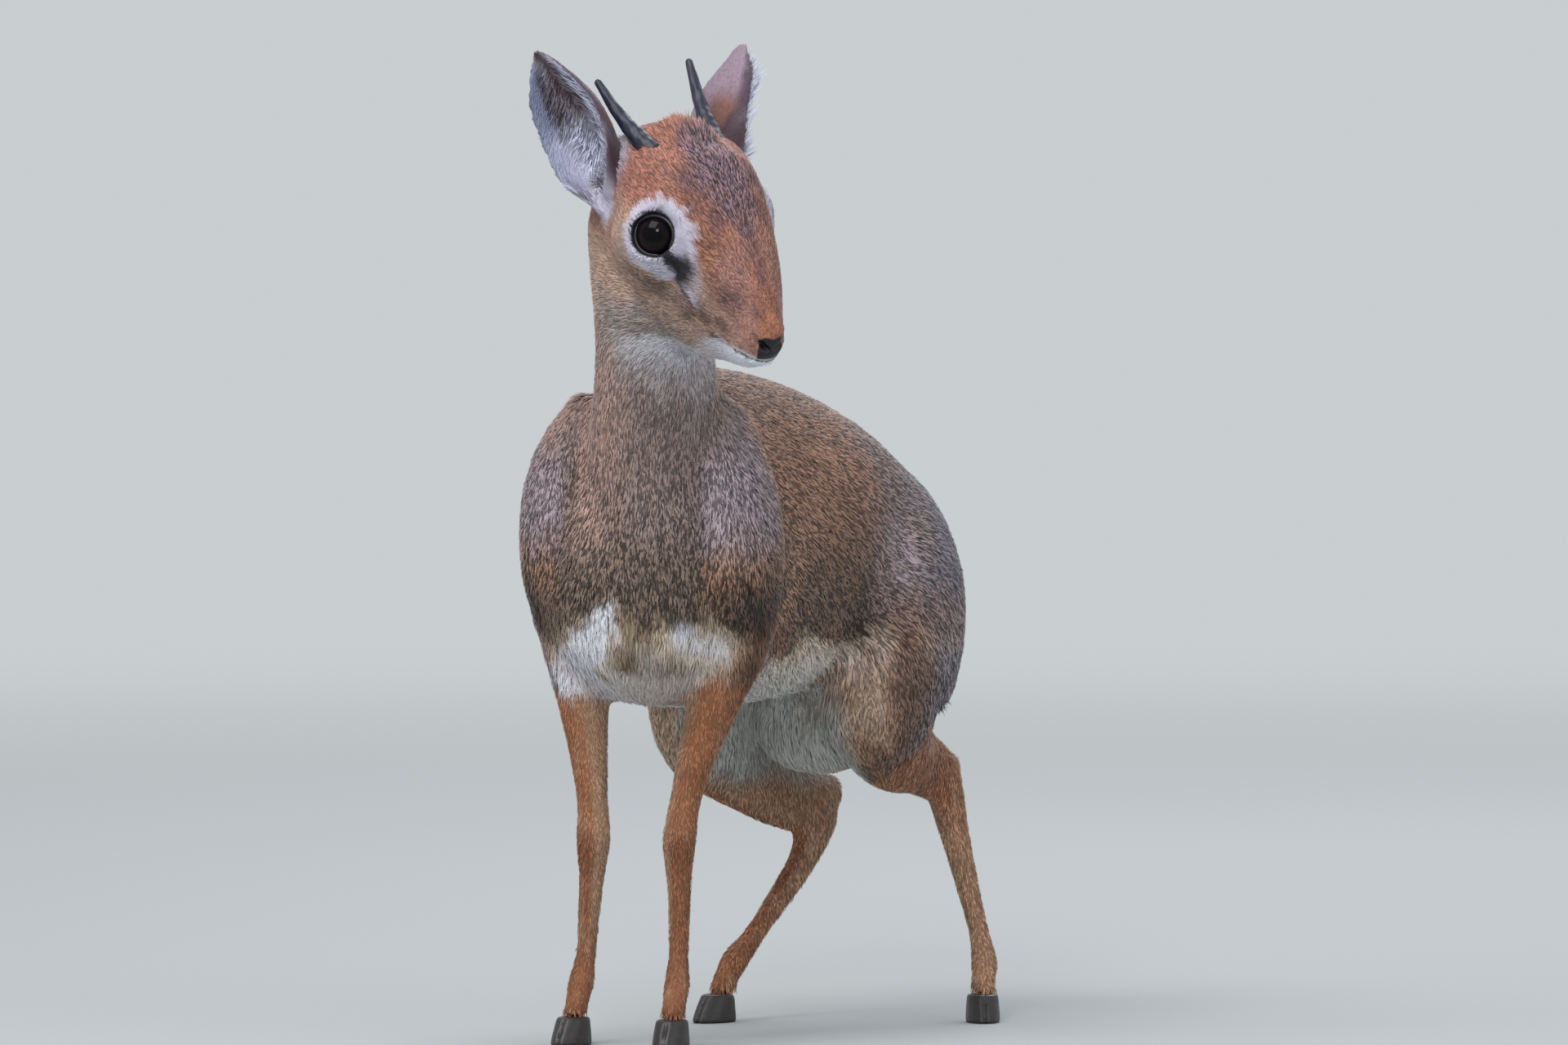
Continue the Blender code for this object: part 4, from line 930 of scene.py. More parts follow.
        contrast = 0.56 + 0.55 * patch + 0.08 * top

        # The crease over the lips, painted darker as painted shade in the fold; the lips, the chin and the
        # pale band along the foot of the jaw.
        crease = np.abs(u - np.interp(b, [16, 19, 29, 43, 50], [1.5, 1.5, -0.1, -4.5, -8])) + 100 * (b > 47)
        mouth = np.interp(b, [0, 4, 14, 27], [-12, -10.8, -9.6, -8.0])
        jaw = np.interp(
            b, [0, 4, 14, 24, 30, 36, 46, 70, 80], [-12, -10.8, -9.6, -8.6, -13, -19, -26.5, -31, -33]
        )
        white = step(2.0, -1.5, u - jaw + fine * 0.8) * step(96, 70, b)
        front = step(3.4, 0.6, u - mouth) * step(20, 8, b) * 0.75
        face = self.lay(
            face,
            # Painted shade in the crease over the lips
            ("cheek_dark", blob(crease + fine, 0.6, 3.2) * step(15, 21, b) * 0.85),
            ("white", np.maximum(white * (0.62 + 0.38 * step(34, 10, b)), front)),
        )

        # The nose pad, with the skin behind the nostrils, and the line of the mouth are bare.
        edge = b + 1.3 * np.maximum(u + 0.3, 0) + np.maximum(across - 5.8, 0) * 1.1
        edge += 1.1 * hump(across, 0, 1.8) - 1.2 * hump(across, 5, 2.2) * step(-4, 1, u)
        pad = step(4.6, 2.8, edge) * (step(-11.0, -9.4, u) * step(8.8, 7.6, across))
        pad = np.maximum(pad, blob(spot([7.0, 5.0, 0.6]), 0.9, 0.9))
        bare = np.maximum(pad, blob(np.abs(u - mouth) + 100 * (b > 29), 0.35, 0.5) * (nz < 0.6))
        self.near_eye = 0.0
        for side, _ in SIDES:
            axes, e, r, turn = round_eye(self.head, side)
            ahead, rear = np.maximum(np.cos(turn), 0), np.maximum(-np.cos(turn), 0)
            above, below = np.maximum(np.sin(turn), 0), np.maximum(-np.sin(turn), 0)
            outer = 14.6 + 9.5 * ahead**1.5 + 3.0 * above**2 + 3.0 * below**2 + 1.2 * rear**2
            outer += 6.5 * hump(turn, -0.45, 0.4)
            outward = e[:, 2] > 0.0
            self.near_eye = self.near_eye + blob(r, 12.0, 6.0) * outward
            ring = blob(r + fine * 1.6, outer - 1.5, 3.6) * outward
            g = (self.head - GLAND_LOCAL * [side, 1, 1]) @ axes
            pale = blob(np.hypot(g[:, 0], g[:, 1] + 3) + fine, 9.0, 3.5) * outward
            shade = blob(np.hypot(g[:, 0], g[:, 1] / 1.1) + 0.8 * fine, 6.0, 3.6) * outward
            # Black: the gland, a line from it to the front corner of the eye, and the rim of the lids.
            gland = blob(np.hypot(g[:, 0], g[:, 1] / 1.15) + 0.5 * fine, 5.0, 1.8)
            corner = np.array([9.5, -6.5])
            way = e[0, :2] - g[0, :2] - corner
            t = np.clip(((e[:, :2] - corner) @ way) / (way @ way), 0, 1)
            away = np.linalg.norm(e[:, :2] - corner - t[:, None] * way, axis=1)
            black = np.maximum(gland, blob(away + 0.4 * fine, 1.8, 1.8))
            past_lid = r - lid_profile(turn)
            thick = 1.2 + 0.7 * np.maximum(np.cos(turn - 0.9), 0)
            black = np.maximum(black, blob(past_lid + 0.2 * fine, thick, 1.1)) * outward
            face = self.lay(
                face,
                ("ring", ring * (0.90 + 0.10 * fine)),
                ("ring", pale * 0.8),
                ("ear_rim", shade * 0.92),
                ("black", black),
            )
            contrast = contrast * (1 - 0.5 * ring) * (1 - 0.9 * black)
            bare = np.maximum(bare, blob(past_lid, 0.9, 0.5) * outward)
        # The nostril openings are painted near black: painted shade in the holes
        hole = np.minimum(spot([4.6, 0.2, -3.0], [2.6, 4.0, 1.5]), spot([6.6, 3.0, -0.6], [1.5, 3.2, 1.4]))
        face = self.lay(face, ("black", bare), (np.full(3, 0.0015), blob(hole, 0.75, 0.4)))
        return face, contrast, bare

    def measure(self):
        """Length, width and lift of the tufts."""
        w, z, n = self.w, self.z, self.skin.normals
        s, h, head = self.s, self.high, self.head
        legs, haunch = self.hind + self.fore, self.haunch
        ears = w["ear_left"] + w["ear_right"]
        length = z["body_hair"] * w["torso"] + z["neck_hair"] * w["neck"] + z["tail_hair"] * w["tail"]
        length += z["leg_hair"] * legs * (1 - 0.3 * step(60, 16, h) + 0.5 * step(26, 18, h))
        length += haunch * (z["body_hair"] - z["leg_hair"]) * 0.8
        face = z["nose_hair"] + (z["face_hair"] - z["nose_hair"]) * step(4, 45, head[:, 1])
        face = face * (1 + 0.35 * step(0, -30, head[:, 2])) * (1 - 0.45 * self.near_eye)
        face = face + self.crest * (z["crest_hair"] - face)
        length += face * w["head"]
        length += (EAR_FUR + (z["ear_hair"] - EAR_FUR) * self.ear_long) * ears
        longer = np.clip(self.belly * step(110, 150, s) + self.chest * 0.45, 0, 1) * w["torso"]
        length += longer * (z["belly_hair"] - z["body_hair"])
        length += self.forearm * (z["belly_hair"] * 0.6 - z["leg_hair"]) * step(-0.2, 0.3, -n[:, 1])
        self.length = length + self.inner_thigh * 4 * MM * step(120, 150, h)
        width = 0.80 * w["torso"] + 0.70 * w["neck"] + 0.9 * w["tail"] + 0.58 * legs + 0.44 * w["head"]
        width += 0.40 * ears + haunch * 0.35
        self.width = width * MM
        lift = 0.30 * w["torso"] + 0.26 * w["neck"] + 0.3 * w["tail"] + 0.24 * legs + 0.24 * w["head"]
        lift += (0.20 + 0.30 * self.ear_long) * ears
        lift += longer * 0.10
        self.lift = lift + self.crest * 0.52


def coat_depth(coat):
    """How far the skin lies below the solids, in metres, so that the coat ends at them."""
    depth = np.clip(coat.length * np.sin(coat.lift) * 0.75, 0.0003, 0.0035)
    depth = np.where(coat.bare > 0.4, 0.0001, depth) * step(15, 24, coat.high)
    legs = 1 - coat.w["torso"] - coat.w["neck"]
    ears = coat.w["ear_left"] + coat.w["ear_right"]
    return depth * (1 - 0.3 * legs) * (1 - step(0.1, 0.5, ears)) + MM * coat.crest


def unwrap(obj):
    """Gives the skin its map, in islands of its own shape."""
    mesh = obj.data
    while mesh.uv_layers:
        mesh.uv_layers.remove(mesh.uv_layers[0])
    mesh.uv_layers.new(name="OFBake")
    bpy.context.view_layer.objects.active = obj
    obj.select_set(True)
    bpy.ops.object.mode_set(mode="EDIT")
    bpy.ops.mesh.select_all(action="SELECT")
    bpy.ops.uv.smart_project(angle_limit=math.radians(75), island_margin=0.001)
    bpy.ops.object.mode_set(mode="OBJECT")
    obj.select_set(False)


def paint_attribute(mesh, name, colours, contrast):
    layer = mesh.color_attributes.new(name, "FLOAT_COLOR", "POINT")
    full = np.concatenate([colours, contrast[:, None]], 1).astype(np.float32)
    layer.data.foreach_set("color", full.ravel())


def add_attribute(mesh, name, values):
    """Numbers or vectors at the vertices, for the materials."""
    kind, key = ("FLOAT", "value") if values.ndim == 1 else ("FLOAT_VECTOR", "vector")
    layer = mesh.attributes.new(name, kind, "POINT")
    layer.data.foreach_set(key, values.astype(np.float32).ravel())


def skin_material():
    """Short hair where there is coat, and glossier skin with pores where it is bare."""
    tree = Tree("skin")
    colour = tree.attribute("coat")
    bare = tree.attribute("bare")[2]
    streak = tree.noise(tree.attribute("grain")[1], 900.0, 3.0)
    shade = (streak - 0.5) * 0.9 * (1 - bare) + 1.0
    tree.set(Base_Color=tree.shaded(colour[0], shade), Roughness=0.72 - bare * 0.38, Specular_IOR_Level=0.3)
    pores = tree.node("ShaderNodeTexVoronoi", {}, {"Vector": tree.place(), "Scale": 1400.0})[0]
    height = streak * (1 - bare) + pores * bare * 0.6
    tree.set(Normal=tree.bump(height, 0.5, 0.0004))
    return tree.material


def coat_material():
    tree = Tree("fur")
    colour = tree.attribute("coat")
    flecks = tree.noise(tree.place(), 1500.0, 2.0)
    shade = (flecks - 0.5) * 0.5 + 1.0
    tree.set(Base_Color=tree.shaded(colour[0], shade), Roughness=0.62 + flecks * 0.1)
    tree.set(Specular_IOR_Level=0.35, Sheen_Weight=0.15)
    return tree.material


def grained_material(name, colour, place, noise, shades, roughness, bump):
    """A hard or wet surface whose colour and gloss vary with a fine grain."""
    tree = Tree(name)
    grain = tree.noise(place(tree), *noise)
    dark, light = ([c * shade for c in colour] for shade in shades)
    tree.set(Base_Color=tree.mix(dark, light, grain), Roughness=roughness + grain * 0.2)
    tree.set(Normal=tree.bump(grain, *bump))
    return tree.material


def tufts(name, skin, coat, uv, ids, bary, material, draw):
    """One joined mesh of tufts rooted in the skin's triangles `ids` at the places `bary`.

    A tuft has a root, two sides with a raised middle between them, and a tip that bends down.
    """
    tri = skin.tris[ids]

    def at(values):
        return (values[tri] * (bary if values.ndim == 1 else bary[..., None])).sum(1)

    count = len(ids)
    p, n, t = at(skin.co), unit(at(skin.normals)), at(coat.lie)
    length, width, lift = at(coat.length), at(coat.width), at(coat.lift)
    colour, contrast = at(coat.colour), at(coat.contrast)
    length = length * draw.uniform(0.7, 1.25, count)
    width = width * draw.uniform(0.75, 1.3, count)
    swing = ripple(p, 0.009, 11) * 0.16 + draw.normal(0, 0.13, count)
    lift = lift * draw.uniform(0.55, 1.35, count)
    t = flat(t, n)
    b = np.cross(n, t)
    t = t * np.cos(swing)[:, None] + b * np.sin(swing)[:, None]
    b = np.cross(n, t)
    settle = np.where(at(coat.crest) > 0.3, 0.6, 0.25)
    first = t * np.cos(lift)[:, None] + n * np.sin(lift)[:, None]
    second = t * np.cos(lift * settle)[:, None] + n * np.sin(lift * settle)[:, None]
    half = draw.uniform(0.42, 0.58, count)
    root = p - n * TUFT_DEPTH
    middle = root + first * (length * half)[:, None]
    tip = middle + second * (length * (1 - half))[:, None]
    up = -unit(np.cross(first, b))
    up = np.where(((up * n).sum(1) < 0)[:, None], -up, up)
    wide, ridge = (width * 0.58)[:, None], (width * 0.24)[:, None]
    co = np.stack([root, middle - b * wide, middle + up * ridge, middle + b * wide, tip], 1)
    faces = (np.arange(count)[:, None, None] * 5 + TUFT_TRIANGLES).reshape(-1, 3)
    lean = np.array([0.0, -0.5, 0.0, 0.5, 0.0])
    normals = unit(n[:, None] * 0.8 + up[:, None] * 0.3 + b[:, None] * lean[None, :, None])
    # Dark guard hairs among pale-banded ones: each tuft is one or the other.
    dark = draw.random(count) < 0.5
    darker = 1 - contrast * draw.uniform(0.45, 0.95, count)
    paler = 1 + contrast * draw.uniform(0.3, 1.1, count)
    shade = np.maximum(np.where(dark, darker, paler), 0.05)
    fleck = np.where(dark, 0.0, draw.uniform(0.0, 0.30, count) * np.clip(contrast - 0.45, 0, 1))[:, None]
    tint = colour * shade[:, None]
    tint += (FLECK - tint) * fleck
    foot = tint * np.where(dark, 1 - 0.2 * contrast, 1 - 0.55 * contrast)[:, None]
    end = tint * np.where(dark, 1 - 0.1 * contrast, 1 + 0.25 * contrast)[:, None]
    paint = np.stack([foot, tint, tint, tint, end], 1)
    mesh = make_mesh(name, co.reshape(-1, 3), faces)
    paint_attribute(mesh, "coat", paint.reshape(-1, 3), np.repeat(contrast, 5))
    root_uv = (uv[ids] * bary[..., None]).sum(1)
    place = np.clip(root_uv[:, None] + TUFT_PATCH, 0.0, 1.0).reshape(-1, 2)
    layer = mesh.uv_layers.new(name="OFBake")
    layer.data.foreach_set("uv", place[faces.ravel()].astype(np.float32).ravel())
    mesh.normals_split_custom_set_from_vertices(normals.reshape(-1, 3).astype(np.float32))
    mesh.materials.append(material)
    return add_object(name, mesh)


MADE = {}  # what one step hands to the next


def build_skin(context):
    """The skin: its shape, set below the solids by the depth of the coat, and its colours."""
    sizes, colours = context.scene.dikdik_sizes, context.scene.dikdik_colours
    obj = draw_skin(sizes.voxel)
    refine_face(obj)
    co, tris = read_mesh(obj.data)
    head = to_head(co)
    # The solid's locks between the horns are smoothed away first.
    locks = step(25, 19, np.abs(head[:, 0])) * step(76, 84, head[:, 1]) * step(124, 116, head[:, 1])
    locks = locks * step(61, 66, head[:, 2] - 0.3 * (head[:, 1] - 100))
    co = spread(co, edges_of(tris), 110, locks * 0.9)
    skin = Skin(co, tris)
    coat = Coat(skin, colours, sizes)
    depth = spread(coat_depth(coat)[:, None], skin.edges, 4, 0.6)
    dip = spread(coat.furrow[:, None], skin.edges, 6, 0.6) * 2.6 * MM
    co = skin.co - skin.normals * (depth + dip)
    on_head = coat.w["head"] > 0.5
    co = co + (sculpt_face(to_head(co)) * on_head[:, None] * MM) @ HEAD.T
    skin.move_to(co)
    mesh = make_mesh("skin", co, tris)
    obj.data = mesh
    unwrap(obj)
    # The skin under long hair is painted darker: painted shade among the tufts
    under = coat.colour * (1 - 0.42 * step(2.5 * MM, 6 * MM, coat.length))[:, None]
    paint_attribute(mesh, "coat", under, coat.contrast)
    add_attribute(mesh, "bare", coat.bare)
    # The grain is drawn out along the lie of the hair.
    add_attribute(mesh, "grain", co - coat.lie * (co * coat.lie).sum(1)[:, None] * 0.85)
    mesh.materials.append(skin_material())
    MADE["skin"], MADE["coat"], MADE["skin_obj"] = skin, coat, obj
    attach(obj, "root")
    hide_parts(*FLESH)


def build_coat(context):
    """The tufts, in pieces, so that each piece can be used by itself."""
    skin, coat, obj = MADE["skin"], MADE["coat"], MADE["skin_obj"]
    mesh = obj.data
    uv = np.empty(len(mesh.loops) * 2, np.float32)
    mesh.uv_layers["OFBake"].data.foreach_get("uv", uv)
    uv = uv.reshape(-1, 3, 2)
    draw = np.random.default_rng(SEED)
    tri = skin.tris
    area = np.linalg.norm(triangle_normals(skin.co, tri), axis=1) / 2
    bare = coat.bare[tri].mean(1)
    first = tri[:, 0]
    names = np.array(FLESH)[coat.owner[first]]
    torso, head = names == "torso", names == "head"
    s = coat.s[first]
    rear, high = s >= 190, coat.high[first] >= 255
    brow, jaw = coat.head[first, 1] >= 62, coat.head[first, 2] < 32
    groups = {
        "coat_chest": ("torso", torso & (s < 40)),
        "coat_shoulder": ("torso", torso & (s >= 40) & (s < 110)),
        "coat_barrel": ("torso", torso & (s >= 110) & ~rear),
        "coat_rump": ("torso", torso & rear & high),
        "coat_haunch": ("torso", torso & rear & ~high),
        "coat_neck": ("neck", names == "neck"),
        "coat_face": ("head", head & ~brow),
        "coat_crown": ("head", head & brow & ~jaw),
        "coat_jaw": ("head", head & brow & jaw),
        "coat_legs_front": ("legs", np.char.startswith(names, "foreleg")),
        "coat_legs_rear": ("legs", np.char.startswith(names, "hindleg")),
        "coat_ears": ("ears", np.char.startswith(names, "ear")),
        "coat_tail": ("tail", names == "tail"),
    }
    totals = {}
    for part, mask in groups.values():
        totals[part] = totals.get(part, 0.0) + area[mask].sum()
    material = coat_material()
    thin = 1.0
    for name, (part, mask) in groups.items():
        weight = area * mask * (bare < 0.5)
        count = int(COAT_SHARE[part] * thin * area[mask].sum() / totals[part])
        ids = draw.choice(len(tri), count, p=weight / weight.sum())
        a, b = draw.random(count), draw.random(count)
        flip = a + b > 1
        a, b = np.where(flip, 1 - a, a), np.where(flip, 1 - b, b)
        bary = np.stack([1 - a - b, a, b], 1)
        piece = tufts(name, skin, coat, uv, ids, bary, material, draw)
        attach(piece, "root")
        "head_tan" if part == "head" else "coat_brown"


def build_eyes(context):
    """Dark glossy eyes with a faint iris and a level pupil."""
    iris = np.array(context.scene.dikdik_colours.iris)
    tree = Tree("eye")
    tree.set(Base_Color=tree.attribute("coat")[0], Roughness=0.04, Specular_IOR_Level=0.09)
    for side, name in SIDES:
        build = bmesh.new()
        bmesh.ops.create_uvsphere(build, u_segments=96, v_segments=64, radius=(EYE_RADIUS - 0.05) * MM)
        local = np.array([v.co for v in build.verts]) / MM
        mesh = bpy.data.meshes.new("eyeball_" + name)
        axes = HEAD @ eye_axes(side)
        if side < 0:
            axes = axes * [-1, 1, 1]
        turn = Matrix.Translation(EYE_AT[side]) @ Matrix(axes.tolist()).to_4x4()
        bmesh.ops.transform(build, matrix=turn, verts=build.verts)
        for face in build.faces:
            face.smooth = True
        bmesh.ops.recalc_face_normals(build, faces=build.faces)
        build.to_mesh(mesh)
        build.free()
        round_pupil = np.hypot(local[:, 0] / 6.0, local[:, 1] / 3.6)
        far = np.hypot(local[:, 0], local[:, 1])
        ray = 0.8 + 0.2 * np.cos(np.arctan2(local[:, 1], local[:, 0]) * 23)
        glow = step(0.9, 1.25, round_pupil) * step(9.8, 7.6, far) * ray
        # The upper half of the iris is painted darker: painted shade under the upper lid
        glow = glow * (1 - 0.5 * step(-2, 5, local[:, 1]))
        paint = np.array([0.0025, 0.0022, 0.0035]) + iris * glow[:, None] * 0.9
        paint_attribute(mesh, "coat", paint, np.ones(len(paint)))
        mesh.materials.append(tree.material)
        obj = add_object("eyeball_" + name, mesh)
        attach(obj, "root")
        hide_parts("eye_" + name)


def ring_mesh(name, loops, closed=False):
    """A mesh through closed loops of equal length; `closed` joins the last loop to the first."""
    loops = np.asarray(loops)
    count, sides = loops.shape[:2]
    i, j = np.meshgrid(np.arange(count if closed else count - 1), np.arange(sides), indexing="ij")
    k, m = (i + 1) % count, (j + 1) % sides
    faces = np.stack([i * sides + j, i * sides + m, k * sides + m, k * sides + j], -1).reshape(-1, 4)
    return make_mesh(name, loops.reshape(-1, 3), faces)


def bristle(root, way, bend, length, width):
    """Corners and triangles of a curved, three-sided hair that starts along `way` and bends by `bend`."""
    across = unit(np.cross(way, bend))
    other = np.cross(way, across)
    rays = [across * math.cos(a) + other * math.sin(a) for a in (0.0, 2.1, 4.2)]
    points = []
    for t in (0.0, 0.35, 0.7):
        centre = root + way * length * t + bend * length * t * t * 0.5
        points += [centre + ray * width * (1 - 0.75 * t) for ray in rays]
    points.append(root + way * length + bend * length * 0.5)
    faces = []
    for i in (0, 3):
        for j in range(3):
            k = (j + 1) % 3
            faces += [(i + j, i + k, i + 3 + k), (i + j, i + 3 + k, i + 3 + j)]
    faces += [(6 + j, 6 + (j + 1) % 3, 9) for j in range(3)]
    return np.array(points), np.array(faces)


def bristles(name, hairs, material):
    """One piece from several hairs."""
    points, faces, base = [], [], 0
    for hair in hairs:
        part, tris = bristle(*hair)
        points.append(part)
        faces.append(tris + base)
        base += len(part)
    mesh = make_mesh(name, np.concatenate(points), np.concatenate(faces))
    mesh.materials.append(material)
    return add_object(name, mesh)


def build_lids(context):
    """A dark wet rim round each eye, with a pointed front corner, and the lashes."""
    material = grained_material(
        "black_skin", context.scene.dikdik_colours.black, Tree.place,
        noise=(1800.0, 3.0), shades=(1.0, 2.2), roughness=0.22, bump=(0.35, 0.0002),
    )
    draw = np.random.default_rng(SEED + 1)
    for side, name in SIDES:
        axes = HEAD @ eye_axes(side)
        # The rim is a tube round the opening.
        loops = []
        for turn in np.linspace(0, 2 * math.pi, 96, endpoint=False):
            radius = float(lid_profile(turn))
            out = math.sqrt(max((EYE_RADIUS + 0.15) ** 2 - radius**2, 9.0))
            ring = []
            for b in np.linspace(0, 2 * math.pi, 14, endpoint=False):
                reach = radius + 0.6 + 0.95 * math.cos(b)
                height = out - 0.25 + 0.55 * math.sin(b) - 0.25 * math.cos(b)
                local = np.array([reach * math.cos(turn), reach * math.sin(turn), height])
                ring.append(from_eye(side, local))
            loops.append(ring)
        mesh = ring_mesh("lids_" + name, loops, closed=True)
        mesh.materials.append(material)
        obj = add_object("lids_" + name, mesh)
        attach(obj, "root")
        # The lashes stand along the upper lid.
        hairs = []
        for turn in np.linspace(math.radians(12), math.radians(150), 40):
            turn += draw.normal(0, 0.03)
            radius = float(lid_profile(turn)) + 1.2
            out = math.sqrt(max((EYE_RADIUS + 1.2) ** 2 - radius**2, 9.0))
            ray = np.array([math.cos(turn), math.sin(turn), 0.0])
            local = ray * radius + [0, 0, out]
            way = unit(ray * 0.35 + np.array([0.35, 0.0, 1.0]) + draw.normal(0, 0.08, 3))
            bend = ray * 0.9 + np.array([0.5, 0.1, -0.2])
            length = draw.uniform(6.0, 9.5) * MM * (1.15 - 0.4 * abs(turn - 1.1))
            hairs.append((from_eye(side, local), axes @ way, axes @ bend, length, 0.2 * MM))
        lashes = bristles("lashes_" + name, hairs, material)
        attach(lashes, "root")


def build_horns(context):
    """Short horns, ringed at the foot and worn smooth at the tip."""
    material = grained_material(
        "horn", context.scene.dikdik_colours.horn, lambda tree: tree.attribute("grain")[1],
        noise=(420.0, 4.0), shades=(0.45, 1.75), roughness=0.36, bump=(0.5, 0.0005),
    )
    angle = np.linspace(0, 2 * math.pi, 40, endpoint=False)
    for side, name in SIDES:
        root = from_head(HORN_ROOT * [side, 1, 1])
        reach = HEAD @ (HORN_REACH[side] * [side, 1, 1]) * MM
        along = unit(reach)
        across = unit(np.cross(along, [0.0, 0.0, 1.0]))
        other = np.cross(along, across)
        loops, lines = [], []
        for t in np.linspace(-0.12, 1.0, 90):
            up = max(t, 0.0)
            rings = float(step(0.6, 0.3, up)) if t > 0 else 0.0
            wave = 0.11 * math.cos(2 * math.pi * 5 * up / 0.5 + 0.6) * rings
            radius = (5.9 - 4.0 * up**0.8 + wave) * MM
            centre = root + reach * t + other * (1.8 * MM * math.sin(math.pi * up))
            ragged = 1 + 0.03 * np.sin(angle * 3 + t * 20) + 0.02 * np.sin(angle * 7 - t * 31)
            rays = np.cos(angle)[:, None] * across + np.sin(angle)[:, None] * other
            loops.append(centre + rays * (radius * ragged)[:, None])
            grain = [np.cos(angle) * 5, np.sin(angle) * 5, np.full(len(angle), t * 8)]
            lines.append(np.stack(grain, 1) * MM)
        last, tip = loops[-1], loops[-1].mean(0)
        for a in [k * math.pi / 10 for k in range(1, 6)]:
            loops.append(tip + (last - tip) * max(math.cos(a), 0.02) + along * 1.9 * MM * math.sin(a))
            lines.append(lines[-1])
        mesh = ring_mesh("horncover_" + name, loops)
        add_attribute(mesh, "grain", np.concatenate(lines))
        mesh.materials.append(material)
        obj = add_object("horncover_" + name, mesh)
        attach(obj, "root")
        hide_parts("horn_" + name)


def build_hooves(context):
    """The hooves, rounded, with growth lines across them."""

    def squeezed(tree):
        inputs = {"Vector": tree.place(), "Scale": (0.25, 0.25, 1.0)}
        return tree.node("ShaderNodeMapping", {}, inputs)[0]

    material = grained_material(
        "hoof", context.scene.dikdik_colours.hoof, squeezed,
        noise=(900.0, 3.0), shades=(0.55, 2.0), roughness=0.34, bump=(0.5, 0.0005),
    )
    names = [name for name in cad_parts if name.startswith("hoof_")]
    obj = gathered(names, 0.0)
    obj.name = "hoofcovers"
    co, tris = fuse(obj, HOOF_VOXEL)
    ground = co[:, 2].min()
    co = spread(co, edges_of(tris), 14, 0.6)
    co[:, 2] = np.maximum(co[:, 2], ground)
    thin_out(obj, co, HOOF_TRIANGLES / len(tris), False)
    obj.data.polygons.foreach_set("use_smooth", np.ones(len(obj.data.polygons), bool))
    obj.data.materials.clear()
    obj.data.materials.append(material)
    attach(obj, "root")
    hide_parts(*names)


def placed(name, data, target, way, distance=1.0):
    """Puts a camera or a lamp out from its target along `way`, turned towards it."""
    obj = bpy.data.objects.new(name, data)
    bpy.context.scene.collection.objects.link(obj)
    obj.location = target + way * distance
    obj.rotation_euler = Vector(way).to_track_quat("Z", "Y").to_euler()
    return obj


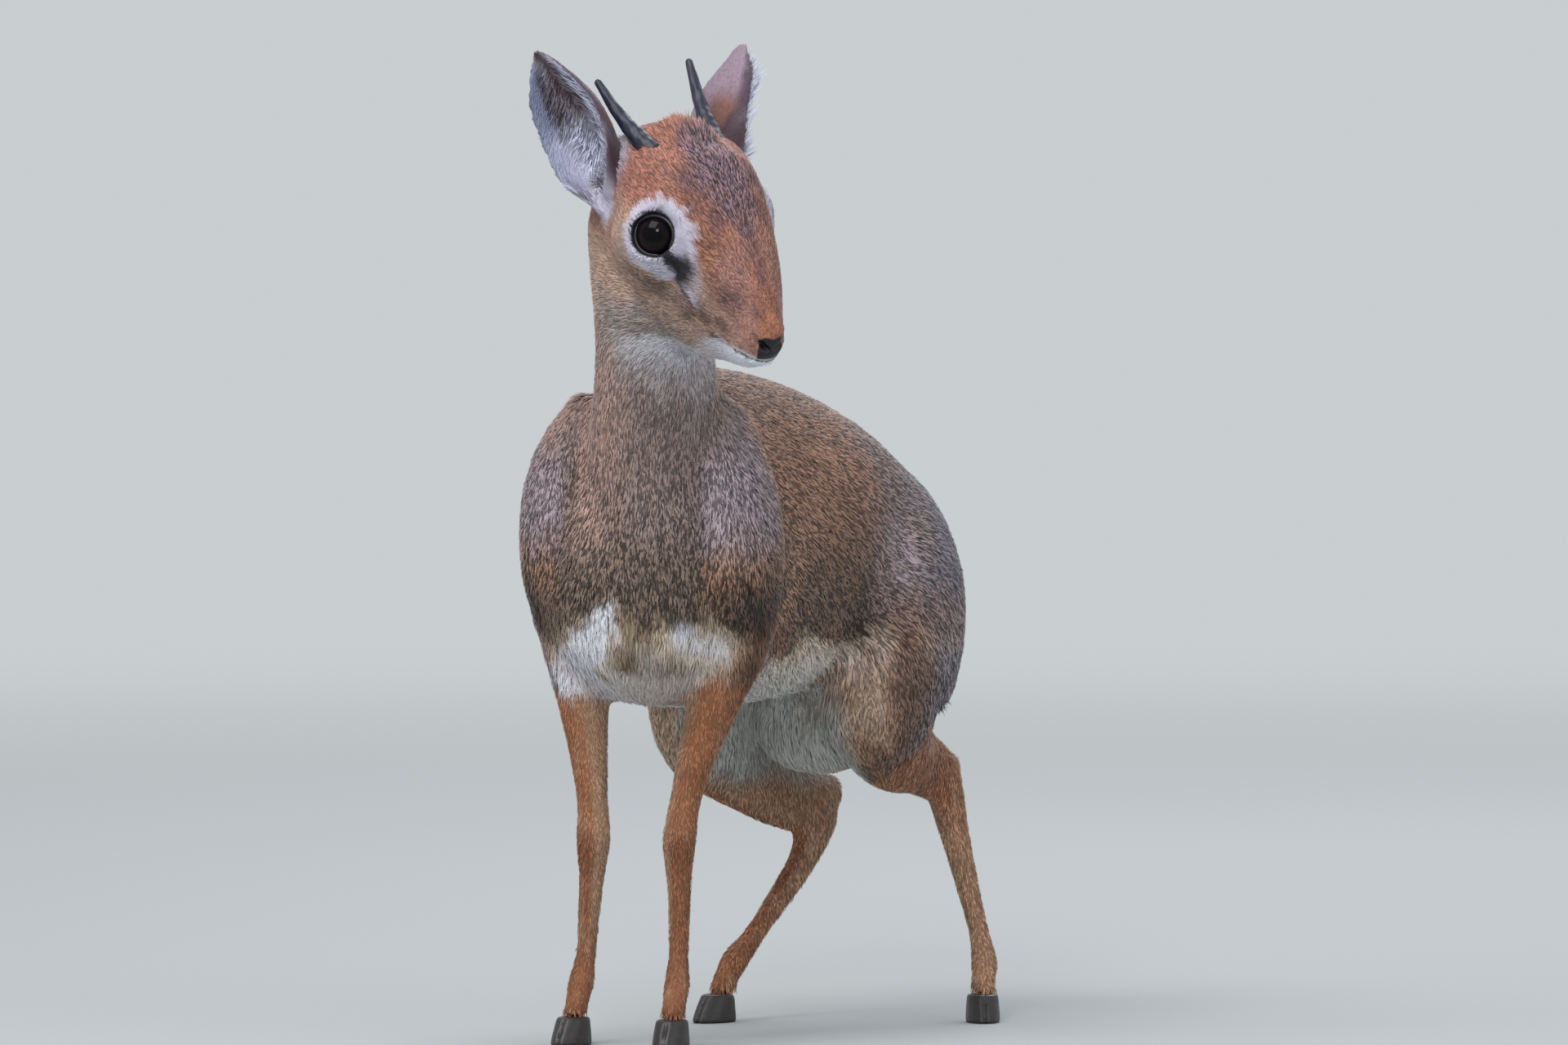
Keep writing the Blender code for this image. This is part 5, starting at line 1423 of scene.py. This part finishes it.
def build_stage(context):
    """A pale floor that fades into the air, soft lights and the camera at the photograph's angle."""
    scene = context.scene
    air, pale = tuple(scene.dikdik_colours.air), tuple(scene.dikdik_colours.floor)
    tree = Tree("floor")
    far = tree.node("ShaderNodeVectorMath", {"operation": "LENGTH"}, {0: tree.place()})[1]
    fade = ((far - 0.7) / 3.3).clamp()
    fade = fade * fade * (3.0 - fade * 2.0)
    nothing = (0.0, 0.0, 0.0)
    tree.set(Base_Color=tree.mix(pale, nothing, fade), Roughness=0.85, Specular_IOR_Level=0.0)
    tree.set(Emission_Color=tree.mix(nothing, [c * AIR_STRENGTH for c in air], fade), Emission_Strength=1.0)
    co = np.array([[-1, -1, 0], [1, -1, 0], [1, 1, 0], [-1, 1, 0]]) * FLOOR_HALF
    floor = add_object("floor", make_mesh("floor", co, np.array([[0, 1, 2, 3]]), False))
    floor.data.materials.append(tree.material)

    right = np.array([math.cos(CAMERA_AZIMUTH), math.sin(CAMERA_AZIMUTH), 0.0])
    up = np.array([0.0, 0.0, 1.0])
    away = np.array([
        math.sin(CAMERA_AZIMUTH) * math.cos(CAMERA_RAISE),
        -math.cos(CAMERA_AZIMUTH) * math.cos(CAMERA_RAISE),
        math.sin(CAMERA_RAISE),
    ])
    target = NOSE + TARGET_FROM_NOSE
    data = bpy.data.cameras.new("camera")
    data.lens = 400.0
    data.sensor_width = 36.0
    data.clip_end = 100.0
    scene.camera = placed("camera", data, target, away, CAMERA_DISTANCE)
    for name, way, size, energy, tint in (
        ("key", -right * 1.1 + away * 1.3 + up * 2.2, 1.5, 48.0, (1.0, 0.985, 0.97)),
        ("fill", right * 1.9 + away * 1.3 + up * 0.8, 1.8, 10.0, (0.94, 0.97, 1.0)),
        ("catch", -right * 0.35 + away * 2.2 + up * 1.15, 0.5, 17.0, (0.84, 0.92, 1.0)),
        ("back", right * 0.6 - away * 1.8 + up * 1.9, 1.5, 40.0, (0.96, 0.98, 1.0)),
    ):
        data = bpy.data.lights.new(name, "AREA")
        data.size = size
        data.energy = energy
        data.color = tint
        placed(name, data, target, way)
    world = bpy.data.worlds.new("studio")
    world.use_nodes = True
    background = world.node_tree.nodes["Background"]
    background.inputs[0].default_value = (*air, 1.0)
    background.inputs[1].default_value = AIR_STRENGTH
    scene.world = world
    scene.view_settings.view_transform = "Standard"


def operator(label, doc, work):
    """The class of an operator that runs `work`."""

    def execute(self, context):
        work(context)
        return {"FINISHED"}

    key = label.lower().replace(" ", "_")
    return type("DIKDIK_OT_" + key, (bpy.types.Operator,), {
        "bl_idname": "dikdik." + key, "bl_label": label, "__doc__": doc, "execute": execute,
    })


OPERATORS = (
    operator("Skin", "Draws the skin from the solids of flesh", build_skin),
    operator("Coat", "Covers the skin with short tufts", build_coat),
    operator("Eyes", "Makes the eyes", build_eyes),
    operator("Lids", "Makes the rims of the lids", build_lids),
    operator("Horns", "Finishes the horns", build_horns),
    operator("Hooves", "Finishes the hooves", build_hooves),
    operator("Stage", "Makes the floor, lights and camera", build_stage),
)


class DIKDIK_PT_panel(bpy.types.Panel):
    """Lists the steps that make the model."""

    bl_label = "Dik-dik"
    bl_idname = "DIKDIK_PT_panel"
    bl_space_type = "VIEW_3D"
    bl_region_type = "UI"
    bl_category = "Dik-dik"

    def draw(self, context):
        for made in OPERATORS:
            self.layout.operator(made.bl_idname)
        for group in (context.scene.dikdik_sizes, context.scene.dikdik_colours):
            for key in type(group).__annotations__:
                self.layout.prop(group, key)


CLASSES = (DikdikColours, DikdikSizes, *OPERATORS, DIKDIK_PT_panel)


def register():
    for cls in CLASSES:
        bpy.utils.register_class(cls)
    bpy.types.Scene.dikdik_colours = bpy.props.PointerProperty(type=DikdikColours)
    bpy.types.Scene.dikdik_sizes = bpy.props.PointerProperty(type=DikdikSizes)


def unregister():
    del bpy.types.Scene.dikdik_sizes
    del bpy.types.Scene.dikdik_colours
    for cls in reversed(CLASSES):
        bpy.utils.unregister_class(cls)


def main():
    register()
    for made in OPERATORS:
        section, name = made.bl_idname.split(".")
        getattr(getattr(bpy.ops, section), name)()


if __name__ == "__main__":
    main()
